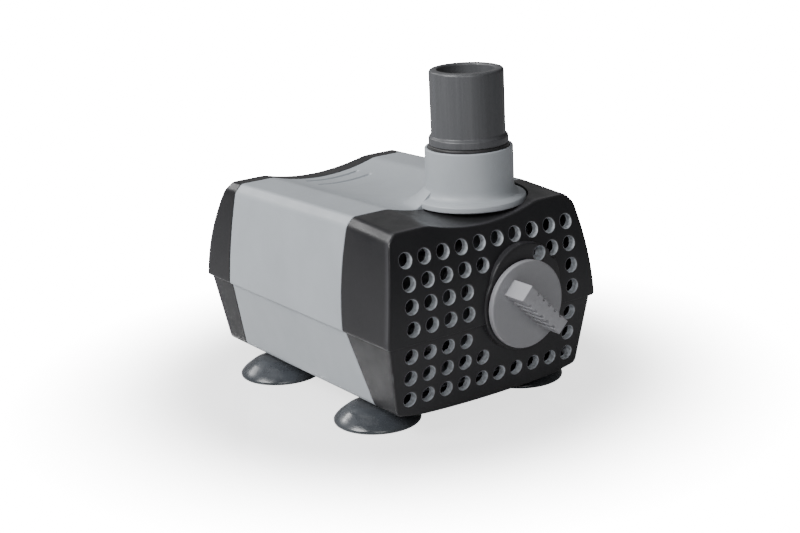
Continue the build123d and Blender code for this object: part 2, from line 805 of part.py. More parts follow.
rotor_magnet = ring_about_pump(impeller_hub_radius, rotor_radius, rotor_front_y, rotor_back_y)
shaft = ring_about_pump(0, shaft_radius, chamber_front_y + shaft_end_gap, well_end_y - shaft_end_gap)
front_bushing = ring_about_pump(
    shaft_radius, bushing_radius, chamber_front_y, chamber_front_y + bushing_length
)
rear_bushing = ring_about_pump(shaft_radius, bushing_radius, well_end_y - bushing_length, well_end_y)

# ---------------------------------------------------------------- motor
case_width = case_right_x - case_left_x
case_centre_x = (case_left_x + case_right_x) / 2
case_back_y = case_front_y + case_length


def case_block(inset, front, back):
    """Rectangular block of the motor case's section, set in by a wall."""
    with BuildPart() as block:
        with BuildSketch(xz(back)):
            with Locations((case_centre_x, axis_z)):
                Rectangle(case_width - 2 * inset, 2 * (case_half_height - inset))
        extrude(amount=back - front)
    return block.part


with BuildPart() as motor_case:
    add(case_block(0, case_front_y, case_back_y))
    add(case_block(case_wall, case_front_y + case_wall, case_back_y), mode=Mode.SUBTRACT)
    with BuildSketch(about_pump_axis(case_front_y)):
        Circle(well_radius + well_wall)
    extrude(amount=-(well_depth + well_end))
    with BuildSketch(about_pump_axis(case_front_y)):
        with Locations(*screw_places):
            Circle(screw_boss_radius)
    extrude(amount=-screw_boss_length)
    with BuildSketch(about_pump_axis(case_front_y)):
        Circle(well_radius)
    extrude(amount=-well_depth, mode=Mode.SUBTRACT)
    add(ring_about_pump(bushing_radius, well_radius, well_end_y - bushing_length, well_end_y))
    with BuildSketch(about_pump_axis(case_front_y)):
        with Locations(*screw_places):
            Circle(screw_radius)
    extrude(amount=-(screw_length - ear_length), mode=Mode.SUBTRACT)

core_back_y = core_front_y + core_depth
yoke_right_x = yoke_left_x + yoke_width
arm_centre = core_half_height - arm_height / 2
with BuildPart() as stator_core:
    with BuildSketch(xz(core_back_y)):
        with Locations(((yoke_left_x + pole_right_x) / 2, axis_z)):
            Rectangle(pole_right_x - yoke_left_x, 2 * core_half_height)
        with Locations(((yoke_right_x + pole_start_x) / 2, axis_z)):
            Rectangle(pole_start_x - yoke_right_x, 2 * (core_half_height - arm_height), mode=Mode.SUBTRACT)
        with Locations(((pole_start_x + pole_right_x) / 2, axis_z)):
            Rectangle(pole_right_x - pole_start_x, 2 * pole_gap, mode=Mode.SUBTRACT)
        with Locations((axis_x, axis_z)):
            Circle(well_radius + well_wall + core_clearance, mode=Mode.SUBTRACT)
    extrude(amount=core_depth)

coil_left_x = yoke_right_x + core_clearance
coil_length = pole_start_x - yoke_right_x - 2 * core_clearance


def coil_sleeve(side, inner, outer, left, length):
    """Rectangular sleeve round one arm of the core: side is 1 for the upper arm and -1 for the lower."""
    with BuildPart() as sleeve:
        with BuildSketch(Plane.YZ.offset(left)):
            with Locations(((core_front_y + core_back_y) / 2, axis_z + side * arm_centre)):
                Rectangle(core_depth + 2 * outer, arm_height + 2 * outer)
                Rectangle(core_depth + 2 * inner, arm_height + 2 * inner, mode=Mode.SUBTRACT)
        extrude(amount=length)
    return sleeve.part


bobbins, windings = {}, {}
for level, side in (("upper", 1), ("lower", -1)):
    tube_outer = core_clearance + bobbin_wall
    with BuildPart() as bobbin:
        add(coil_sleeve(side, core_clearance, tube_outer, coil_left_x, coil_length))
        for left in (coil_left_x, coil_left_x + coil_length - bobbin_flange):
            add(coil_sleeve(side, core_clearance, tube_outer + winding_depth, left, bobbin_flange))
    bobbins[level] = bobbin.part
    windings[level] = coil_sleeve(
        side, tube_outer, tube_outer + winding_depth,
        coil_left_x + bobbin_flange, coil_length - 2 * bobbin_flange,
    )

with BuildPart() as potting:
    add(case_block(case_wall, case_front_y + case_wall, case_front_y + case_wall + potting_length))
    with BuildSketch(about_pump_axis(case_front_y)):
        Circle(well_radius + well_wall)
    extrude(amount=-(well_depth + well_end), mode=Mode.SUBTRACT)
    with BuildSketch(about_pump_axis(case_front_y)):
        with Locations(*screw_places):
            Circle(screw_boss_radius)
    extrude(amount=-screw_boss_length, mode=Mode.SUBTRACT)
    add(stator_core.part, mode=Mode.SUBTRACT)
    for level in bobbins:
        add(bobbins[level], mode=Mode.SUBTRACT)
        add(windings[level], mode=Mode.SUBTRACT)


# ---------------------------------------------------------------- feet and cable inlet
def suction_cup(x, y):
    """Domed rubber cup with a neck through the floor of the casing and a bulb above it."""
    neck_top = base_flat_z + wall + cup_bulb_lift
    mouth = cup_radius - cup_lip
    crown_z = cup_height - cup_web
    hollow_radius = (mouth**2 + crown_z**2) / (2 * crown_z)
    half_way_z = crown_z - hollow_radius + sqrt(hollow_radius**2 - mouth**2 / 4)
    dome_radius = (cup_shoulder_radius + cup_radius) / 2 + cup_bulge[0]
    dome_z = (cup_height + cup_lip) / 2 + cup_bulge[1]
    with BuildPart() as cup:
        with BuildSketch(Plane.XZ):
            with BuildLine():
                Polyline(
                    (cup_radius, cup_lip),
                    (cup_radius, 0),
                    (0, 0),
                    (0, neck_top + cup_bulb_height),
                    (cup_neck_radius, neck_top + cup_bulb_height),
                    (cup_bulb_radius, neck_top),
                    (cup_neck_radius, neck_top),
                    (cup_neck_radius, cup_height),
                    (cup_shoulder_radius, cup_height),
                )
                ThreePointArc((cup_shoulder_radius, cup_height), (dome_radius, dome_z), (cup_radius, cup_lip))
            make_face()
        revolve(axis=Axis.Z)
        with BuildSketch(Plane.XZ):
            with BuildLine():
                ThreePointArc((mouth, 0), (mouth / 2, half_way_z), (0, crown_z))
                Line((0, crown_z), (0, 0))
                Line((0, 0), (mouth, 0))
            make_face()
        revolve(axis=Axis.Z, mode=Mode.SUBTRACT)
    return Pos(x, y, 0) * cup.part


suction_cups = {}
for end, distance in zip(("front", "rear"), cup_from_face):
    for name, x in (("left", -cup_x), ("right", cup_x)):
        suction_cups[f"suction_cup_{end}_{name}"] = suction_cup(x, face_y + distance)

gland_wall_out = rear_y - waist_step - gland_outer_set
gland_wall_in = gland_wall_out - wall - gland_lean_room
cable_gland = along_y(
    (
        (gland_bore, gland_wall_in - gland_flange_length),
        (gland_flange_radius, gland_wall_in - gland_flange_length),
        (gland_flange_radius, gland_wall_in),
        (gland_radius, gland_wall_in),
        (gland_radius, gland_wall_out),
        (gland_flange_radius, gland_wall_out),
        (gland_radius, rear_y + gland_reach),
        (gland_bore, rear_y + gland_reach),
    ),
    gland_x, gland_z,
)

# ---------------------------------------------------------------- files
pieces = {
    "front_cover": front_cover.part,
    "upper_housing": upper_housing.part,
    "outlet_collar": outlet_collar.part,
    "lower_housing": lower_housing.part,
    "rear_cap": rear_cap.part,
    "outlet_nozzle": outlet_nozzle.part,
    "nozzle_seal": nozzle_seal.part,
    "flow_dial": flow_dial.part,
    "throttle_gate": throttle_gate.part,
    "pump_casing": pump_casing.part,
    "chamber_cover": chamber_cover.part,
    "chamber_seal": chamber_seal,
    "casing_screws": casing_screws.part,
    "impeller": impeller.part,
    "rotor_magnet": rotor_magnet,
    "shaft": shaft,
    "front_bushing": front_bushing,
    "rear_bushing": rear_bushing,
    "motor_case": motor_case.part,
    "stator_core": stator_core.part,
    "upper_bobbin": bobbins["upper"],
    "lower_bobbin": bobbins["lower"],
    "upper_winding": windings["upper"],
    "lower_winding": windings["lower"],
    "potting": potting.part,
    "cable_gland": cable_gland,
    **suction_cups,
}
os.makedirs("parts", exist_ok=True)
for name, piece in pieces.items():
    piece.label = name
    export_step(piece, f"parts/{name}.step")
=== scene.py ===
"""Looks of a fountain submersible pump: casing, strainer cover, dial, outlet, feet and inner parts."""

import json
import math

import bpy
import bmesh
import numpy as np
from mathutils import Matrix, Vector


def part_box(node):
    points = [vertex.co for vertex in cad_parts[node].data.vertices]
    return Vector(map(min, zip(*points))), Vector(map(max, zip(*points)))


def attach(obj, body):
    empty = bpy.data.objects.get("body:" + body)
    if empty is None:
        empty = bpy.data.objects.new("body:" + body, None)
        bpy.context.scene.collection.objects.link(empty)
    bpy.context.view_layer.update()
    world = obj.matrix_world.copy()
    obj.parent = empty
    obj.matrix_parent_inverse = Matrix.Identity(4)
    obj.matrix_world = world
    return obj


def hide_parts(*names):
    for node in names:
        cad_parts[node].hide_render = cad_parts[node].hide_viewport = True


bl_info = {
    "name": "Fountain Pump",
    "version": (1, 0, 0),
    "blender": (4, 5, 0),
    "location": "View3D > Sidebar > Fountain Pump",
    "description": "Builds the moulded pieces and finishes of a fountain submersible pump",
    "category": "Object",
}

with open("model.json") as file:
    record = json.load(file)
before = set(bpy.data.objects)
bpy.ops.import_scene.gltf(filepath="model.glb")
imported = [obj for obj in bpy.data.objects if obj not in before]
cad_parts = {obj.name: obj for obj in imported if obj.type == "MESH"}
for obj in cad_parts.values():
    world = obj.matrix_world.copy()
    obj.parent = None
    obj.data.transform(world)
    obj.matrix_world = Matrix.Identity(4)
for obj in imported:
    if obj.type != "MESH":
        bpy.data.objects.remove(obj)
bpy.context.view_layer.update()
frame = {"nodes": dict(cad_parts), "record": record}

# ------------------------------------------------------------------ sizes, in millimetres
MM = 0.001


def corners(node):
    """Lowest and highest corner of a CAD node, in millimetres."""
    low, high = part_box(node)
    return np.array(low) / MM, np.array(high) / MM


cover_low, _ = corners("front_cover")
shell_low, shell_high = corners("upper_housing")
base_low, _ = corners("lower_housing")
cap_low, _ = corners("rear_cap")
dial_low, dial_high = corners("flow_dial")
nozzle_low, nozzle_high = corners("outlet_nozzle")
seal_low, seal_high = corners("nozzle_seal")
collar_low, collar_high = corners("outlet_collar")
gland_low, gland_high = corners("cable_gland")

HALF_WIDTH = shell_high[0]
WAIST = shell_low[2]
PAD_HEIGHT = 0.6
FACE_Y = cover_low[1] + PAD_HEIGHT
REAR_Y = 50.05          # rear face, at the waist
REAR_PART = cap_low[1]  # rear parting line
CREST = 22.6            # from the face back to the highest point of the shoulders
FLOOR_DEPTH = WAIST - base_low[2]
WALL = 2.2
SEAM = 0.2              # gap at a parting line
STEP = 1.0              # how far the lower half is set in at the waist
DIAL_X, DIAL_Z = (dial_low[0] + dial_high[0]) / 2, (dial_low[2] + dial_high[2]) / 2
OUTLET_X, OUTLET_Y = (nozzle_low[0] + nozzle_high[0]) / 2, (nozzle_low[1] + nozzle_high[1]) / 2
CEILING = 24.5          # flat inner top of the casing, above the waist
TOPS = (28.0, 31.0)     # shoulder heights of the two sections that the others lie between
FLANGE_RADIUS = 15.36
FLANGE_TOP = 56.75
GROOVES = (69.95, 76.65)  # finger grooves, from the face
GROOVE_HALF = 0.8
HOLE_RADIUS = 1.95
CELL_WIDTH = 6.0
COLUMNS = 10
CELL_STEPS = 8          # steps along each side of a cell
SHARP = 32.0            # edges sharper than this angle in degrees aren't smoothed
ROWS_ABOVE = {"first": 4.2, "pitch": 6.03, "open": [(1, 2, 3, 4, 10), (1, 2, 3, 4, 10),
                                                    (1, 2, 3, 4, 5, 8, 9, 10), range(1, 11)]}
ROWS_BELOW = {"first": 3.65, "pitch": 6.15, "open": [(1, 2, 3, 4, 10), (1, 2, 3, 4, 5, 10), range(1, 11)]}
PAD_HOLE = (15.0, WAIST + 16.26)   # hole through the pad, in x and z
EDGE_HOLE = (21.0, WAIST + 16.26)  # hole that the pad's rim bends round


# ------------------------------------------------------------------ settings
class PumpShapeSettings(bpy.types.PropertyGroup):
    """Roundings and shallow shapes of the moulded pieces."""

    edge_round: bpy.props.FloatProperty(
        name="Edge rounding", description="Rounding where a face meets the side walls",
        default=0.00055, min=0.0002, max=0.0009, unit="LENGTH")
    crease_round: bpy.props.FloatProperty(
        name="Crease rounding", description="Length of wall that each lengthwise crease takes up",
        default=0.0009, min=0.0003, max=0.0015, unit="LENGTH")
    rim_round: bpy.props.FloatProperty(
        name="Hole rim rounding", description="Rounding round each strainer hole",
        default=0.00028, min=0.0001, max=0.0006, unit="LENGTH")
    seam_round: bpy.props.FloatProperty(
        name="Seam rounding", description="Rounding along the parting lines",
        default=0.00025, min=0.0001, max=0.0005, unit="LENGTH")
    groove_depth: bpy.props.FloatProperty(
        name="Groove depth", description="Depth of the two finger grooves across the saddle",
        default=0.0010, min=0.0, max=0.0015, unit="LENGTH")
    flange_sweep: bpy.props.FloatProperty(
        name="Flange sweep", description="How far the outlet flange flows out over the saddle",
        default=0.0042, min=0.001, max=0.008, unit="LENGTH")


class PumpFinishSettings(bpy.types.PropertyGroup):
    """Colours and surface finish of the materials."""

    cover_colour: bpy.props.FloatVectorProperty(
        name="Covers", description="Colour of the strainer cover and the rear cap",
        default=(0.0175, 0.0175, 0.0192), min=0, max=1, size=3, subtype="COLOR")
    # painted highlight: a pale colour laid on the walls and rims of the strainer holes in place of the light
    # they catch
    bore_highlight_colour: bpy.props.FloatVectorProperty(
        name="Hole walls", description="Colour of the pale film on the walls of the strainer holes",
        default=(0.58, 0.62, 0.66), min=0, max=1, size=3, subtype="COLOR")
    housing_colour: bpy.props.FloatVectorProperty(
        name="Housing", description="Colour of the middle of the casing and the collar",
        default=(0.35, 0.375, 0.40), min=0, max=1, size=3, subtype="COLOR")
    nozzle_colour: bpy.props.FloatVectorProperty(
        name="Nozzle", description="Colour of the outlet nozzle",
        default=(0.067, 0.069, 0.074), min=0, max=1, size=3, subtype="COLOR")
    dial_colour: bpy.props.FloatVectorProperty(
        name="Dial", description="Colour of the flow dial",
        default=(0.26, 0.262, 0.278), min=0, max=1, size=3, subtype="COLOR")
    cup_colour: bpy.props.FloatVectorProperty(
        name="Feet", description="Colour of the suction cups",
        default=(0.030, 0.034, 0.040), min=0, max=1, size=3, subtype="COLOR")
    satin: bpy.props.FloatProperty(
        name="Satin roughness", description="Roughness of the moulded plastic",
        default=0.42, min=0.1, max=0.9, subtype="FACTOR")
    grain: bpy.props.FloatProperty(
        name="Grain", description="Strength of the fine texture on the moulded plastic",
        default=0.16, min=0.0, max=1.0, subtype="FACTOR")


class PumpStageSettings(bpy.types.PropertyGroup):
    """Floor, lights and camera."""

    key_power: bpy.props.FloatProperty(
        name="Key light", description="Power of the large light at the upper left",
        default=13.0, min=0, subtype="POWER", unit="POWER")
    top_power: bpy.props.FloatProperty(
        name="Top light", description="Power of the light overhead",
        default=1.4, min=0, subtype="POWER", unit="POWER")
    fill_power: bpy.props.FloatProperty(
        name="Fill light", description="Power of the weak light in front",
        default=2.0, min=0, subtype="POWER", unit="POWER")
    back_power: bpy.props.FloatProperty(
        name="Back light", description="Power of the low light behind, mirrored by the level faces",
        default=0.15, min=0, subtype="POWER", unit="POWER")
    rim_power: bpy.props.FloatProperty(
        name="Rim light", description="Power of the small light behind, mirrored by the shoulder bevels",
        default=2.2, min=0, subtype="POWER", unit="POWER")
    floor_glow: bpy.props.FloatProperty(
        name="Floor brightness", description="Brightness added to the far floor as the camera sees it",
        default=22.0, min=0)
    surround: bpy.props.FloatProperty(
        name="Surround", description="Brightness of the room light",
        default=0.06, min=0)
    lens: bpy.props.FloatProperty(
        name="Lens", description="Focal length of the camera", default=73.83, min=10, unit="CAMERA")
    camera_place: bpy.props.FloatVectorProperty(
        name="Camera place", description="Where the camera stands", size=3,
        default=(-0.25733, -0.37090, 0.16816), subtype="TRANSLATION", unit="LENGTH")
    camera_azimuth: bpy.props.FloatProperty(
        name="Azimuth", description="Direction the camera looks from",
        default=math.radians(-34.795), subtype="ANGLE")
    camera_elevation: bpy.props.FloatProperty(
        name="Elevation", description="Height of the camera above the horizon",
        default=math.radians(16.666), subtype="ANGLE")
    camera_roll: bpy.props.FloatProperty(
        name="Roll", description="Turn of the camera about its line of sight",
        default=math.radians(2.747), subtype="ANGLE")


# ------------------------------------------------------------------ surfaces
def grid_quads(rows, columns, wrap_rows=False, wrap_columns=False):
    """Quads of a grid numbered row by row; a wrapped side joins its last line to its first."""
    row = np.arange(rows if wrap_rows else rows - 1)[:, None]
    column = np.arange(columns if wrap_columns else columns - 1)[None, :]
    below, beside = (row + 1) % rows, (column + 1) % columns
    quads = np.stack([row * columns + column, row * columns + beside,
                      below * columns + beside, below * columns + column], -1)
    return quads.reshape(-1, 4)


def corner_curve(start, corner, end, steps):
    """Rounded corner: the mean of start, corner and end, with weights (1-t)^2, 2t(1-t) and t^2."""
    start, corner, end = (np.asarray(p, float) for p in (start, corner, end))
    t = np.linspace(0, 1, steps + 1).reshape((-1,) + (1,) * start.ndim)
    return (1 - t) ** 2 * start + 2 * t * (1 - t) * corner + t ** 2 * end


def rounded_profile(points, rounds, steps=5):
    """Closed profile: a polygon with a corner curve at each corner, starting and ending that far from it."""
    points, rounds = np.asarray(points, float), np.asarray(rounds, float)[:, None]
    before, after = np.roll(points, 1, 0) - points, np.roll(points, -1, 0) - points
    before = before / np.linalg.norm(before, axis=1, keepdims=True)
    after = after / np.linalg.norm(after, axis=1, keepdims=True)
    curves = corner_curve(points + before * rounds, points, points + after * rounds, steps)
    return curves.transpose(1, 0, 2).reshape(-1, points.shape[1])


def turned(profile, centre, turns=144, axis="z"):
    """Surface of revolution: a profile of (radius, height) carried round an axis through the centre.

    The two coordinates across the axis are the radius times the cosine and the sine of the angle.
    """
    angle = np.linspace(0, 2 * np.pi, turns, endpoint=False)[:, None]
    radius, height = np.asarray(profile, float).T
    across, up = radius * np.cos(angle), radius * np.sin(angle)
    along = np.broadcast_to(height, across.shape)
    parts = (across, up, along) if axis == "z" else (across, along, up)
    points = np.stack(parts, -1) + np.asarray(centre, float)
    return points.reshape(-1, 3), grid_quads(turns, len(radius), True, True)


def welded(points, twin, quads):
    """Joins points that lie on each other, and keeps the first twin of each."""
    key = np.round(points / 0.002 + 0.137).astype(np.int64)
    _, first, inverse = np.unique(key, axis=0, return_index=True, return_inverse=True)
    quads = inverse.reshape(-1)[quads]
    whole = (quads != np.roll(quads, 1, 1)).all(1)
    return points[first], twin[first], quads[whole]


def thickened(points, twin, quads):
    """Closed wall from an open sheet: the sheet, its twin turned over, and quads along every open edge."""
    points, twin, quads = welded(points, twin, quads)
    edges = np.stack([quads, np.roll(quads, -1, 1)], -1).reshape(-1, 2)
    ordered = np.sort(edges, 1)
    _, inverse, count = np.unique(ordered, axis=0, return_inverse=True, return_counts=True)
    rim = edges[count[inverse.reshape(-1)] == 1]
    strip = np.stack([rim[:, 1], rim[:, 0], rim[:, 0] + len(points), rim[:, 1] + len(points)], 1)
    return np.concatenate([points, twin]), np.concatenate([quads, quads[:, ::-1] + len(points), strip])


def joined(*surfaces):
    """Several surfaces as one list of points and one of quads."""
    starts = np.cumsum([0] + [len(points) for points, _ in surfaces[:-1]])
    return (np.concatenate([points for points, _ in surfaces]),
            np.concatenate([quads + start for (_, quads), start in zip(surfaces, starts)]))


def closed_mesh(name, points, quads):
    """Mesh of a surface in metres, with doubles merged and normals outwards."""
    mesh = bpy.data.meshes.new(name)
    mesh.from_pydata((points * MM).tolist(), [], quads.tolist())
    work = bmesh.new()
    work.from_mesh(mesh)
    bmesh.ops.remove_doubles(work, verts=work.verts, dist=1e-7)
    bmesh.ops.recalc_face_normals(work, faces=work.faces)
    work.to_mesh(mesh)
    work.free()
    return mesh


def placed(name, data):
    """A new object for a mesh, light or camera, in the scene."""
    thing = bpy.data.objects.new(name, data)
    bpy.context.scene.collection.objects.link(thing)
    return thing


def smooth_shaded(mesh, sharp=SHARP):
    """Smooth shading, broken at edges sharper than an angle in degrees."""
    mesh.shade_smooth()
    mesh.set_sharp_from_angle(angle=math.radians(sharp))


def add_surfaces(piece, *surfaces):
    """Adds further closed surfaces to a piece's mesh."""
    work = bmesh.new()
    work.from_mesh(piece.data)
    for points, quads in surfaces:
        extra = closed_mesh("extra", points, quads)
        work.from_mesh(extra)
        bpy.data.meshes.remove(extra)
    work.to_mesh(piece.data)
    work.free()
    smooth_shaded(piece.data)


def new_piece(name, surface, body, nodes, slot, sharp=SHARP):
    """Puts a surface into a mesh object with outward normals and hands it to its CAD body."""
    mesh = closed_mesh(name, *surface)
    smooth_shaded(mesh, sharp)
    piece = placed(name, mesh)
    mesh.materials.append(slot_material(slot))
    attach(piece, body)
    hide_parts(*nodes)
    return piece


def cut_away(piece, points, quads):
    """Takes a closed cutting shape out of a piece and keeps the result as its mesh."""
    mesh = closed_mesh("cutter", points, quads)
    cutter = placed("cutter", mesh)
    cut = piece.modifiers.new("cut", "BOOLEAN")
    cut.operation, cut.solver, cut.object = "DIFFERENCE", "EXACT", cutter
    bpy.context.view_layer.update()
    result = bpy.data.meshes.new_from_object(piece.evaluated_get(bpy.context.evaluated_depsgraph_get()))
    piece.modifiers.remove(cut)
    old, name = piece.data, piece.data.name
    piece.data = result
    bpy.data.meshes.remove(old)
    result.name = name
    bpy.data.objects.remove(cutter)
    bpy.data.meshes.remove(mesh)
    smooth_shaded(result)


# ------------------------------------------------------------------ casing
def half_outline(points, bows, rounds, steps):
    """Half a cross-section from the waist to the middle, in (x, height).

    Each stretch is a straight line between two points plus a bow of 4t(1-t) times its offset, and corner
    curves join the stretches. Steps lists corner, stretch, corner, stretch and so on.
    """
    points = np.asarray(points, float)
    lengths = np.linalg.norm(np.diff(points, axis=0), axis=1)

    def on(stretch, t):
        t = np.atleast_1d(t)[:, None]
        return (points[stretch] * (1 - t) + points[stretch + 1] * t
                + 4 * t * (1 - t) * np.asarray(bows[stretch], float))

    first = on(0, rounds[0] / lengths[0])[0]
    run = [corner_curve(points[0] - (rounds[0], 0), points[0], first, steps[0])]
    for stretch, length in enumerate(lengths):
        begin, end = rounds[stretch] / length, 1 - rounds[stretch + 1] / length
        run.append(on(stretch, np.linspace(begin, end, steps[2 * stretch + 1] + 1))[1:])
        if stretch + 1 < len(lengths):
            after = on(stretch + 1, rounds[stretch + 1] / lengths[stretch + 1])[0]
            run.append(corner_curve(run[-1][-1], points[stretch + 1], after, steps[2 * stretch + 2])[1:])
    return np.concatenate(run)


def whole_outline(half):
    """The half outline and its mirror image, from the left end of the waist to the right end."""
    return np.concatenate([half * (-1, 1), half[-2::-1]])


def top_height(y):
    """Height of the shoulders above the waist: a straight rise to the crest, then a straight fall."""
    front, crest, rear = 29.0, 30.5, 28.9
    behind = y - FACE_Y - CREST
    rise = crest + (crest - front) * behind / (CREST + 1)
    fall = crest - (crest - rear) * behind / (REAR_Y + 1 - FACE_Y - CREST)
    return np.minimum(rise, fall)


class UpperForm:
    """Cross-sections of the casing above the waist; heights run upwards from the waist."""

    up = 1

    def __init__(self, crease, fine=1):
        steps = [n * fine for n in (4, 22, 4, 4, 4, 10, 4, 20)]
        self.outer = [whole_outline(half_outline(
            [(HALF_WIDTH, 0), (31.0, top - 2.2), (28.8, top), (18.0, top), (0, top - 2.7)],
            [(0.55, 0), (0, 0), (0, 0), (0, -0.675)], [0.9, crease, crease * 0.8, crease * 1.6, 0], steps))
            for top in TOPS]
        self.inner = whole_outline(half_outline(
            [(HALF_WIDTH - WALL, 0), (29.2, CEILING - 0.3), (28.7, CEILING), (18.0, CEILING), (0, CEILING)],
            [(0, 0)] * 4, [0.1, 0.1, 0.1, 0.1, 0], steps))

    def at(self, y):
        """Outline at distances y, one per point: it changes in proportion to the height of the shoulders."""
        share = (top_height(y) - TOPS[0]) / (TOPS[1] - TOPS[0])
        low, high = self.outer
        return np.stack([np.broadcast_to(low[:, 0], share.shape),
                         low[:, 1] + (high[:, 1] - low[:, 1]) * share], -1)


class LowerForm:
    """Cross-sections of the casing below the waist; heights run downwards from the waist."""

    up = -1

    def __init__(self, crease, fine=1, start=-0.4):
        steps = [n * fine for n in (0, 22, 4, 12, 4, 22)]
        half, foot, foot_height = HALF_WIDTH - STEP, 30.9, 20.0
        lean = (half - foot) / foot_height

        def outline(inset, rounds):
            return whole_outline(half_outline(
                [(half - inset - lean * start, start), (foot - inset, foot_height - inset),
                 (23.0 - inset, 21.5 - inset), (0, FLOOR_DEPTH - inset)],
                [(0, 0), (0, 0), (0, 0.2)], rounds, steps))

        self.outer = outline(0, [0, crease * 1.5, crease * 2, 0])
        self.inner = outline(WALL, [0, 0.1, 0.1, 0])

    def at(self, y):
        """Outline at distances y: the same everywhere."""
        return np.broadcast_to(self.outer, y.shape + (2,))


def curve_through(heights, depths):
    """Depth as a function of height: the parabola through three points."""
    return np.poly1d(np.polyfit(heights, depths, 2))


# depth of the end faces behind their planes, and of the parting line behind the front one
UPPER_FRONT = curve_through((0, 15.25, 30.5), (0, 0.930, 4.645))
UPPER_REAR = curve_through((0, 15.25, 30.5), (0, 2.117, 8.880))
LOWER_LEAN = np.poly1d((0.136, STEP))
UPPER_PART = curve_through((0, 15.25, 32.7), (21.5, 23.0, 22.6))
LOWER_PART = np.poly1d(((13.4 - 21.5) / FLOOR_DEPTH, 21.5))


def cell_template(open_hole, height, rim):
    """One cell of the face in (x, height, depth) about its centre, with the quads.

    An open cell runs from its square border to a circle, and over a quarter round into the hole. A closed
    cell is a plain square grid.
    """
    steps = CELL_STEPS
    side = np.linspace(-0.5, 0.5, steps + 1)
    if not open_hole:
        x, h = np.meshgrid(side * CELL_WIDTH, side * height)
        return np.stack([x, h, 0 * x], -1).reshape(-1, 3), grid_quads(steps + 1, steps + 1)
    run, edge = side[:-1], np.full(steps, 0.5)
    sides = ((run, -edge), (edge, run), (-run, edge), (-edge, -run))
    border = np.concatenate([np.stack(side, 1) for side in sides])
    border = border * (CELL_WIDTH, height)
    angle = np.radians(-135 + 360 / (4 * steps) * np.arange(4 * steps))
    round_ = np.stack([np.cos(angle), np.sin(angle)], 1)
    share = np.array([0, 0.4, 0.75, 1.0])[:, None, None]
    flat = border * (1 - share) + round_ * (HOLE_RADIUS + rim) * share
    turn = np.linspace(0, np.pi / 2, 6)[1:, None, None]
    bent = round_ * (HOLE_RADIUS + rim * (1 - np.sin(turn)))
    points = np.concatenate([flat, bent])
    depth = np.concatenate([np.zeros((len(flat), 1)), rim * (1 - np.cos(turn[:, :, 0]))])
    depth = np.broadcast_to(depth, points.shape[:2])[..., None]
    points = np.concatenate([points, depth], -1)
    return points.reshape(-1, 3), grid_quads(len(points), 4 * steps, False, True)


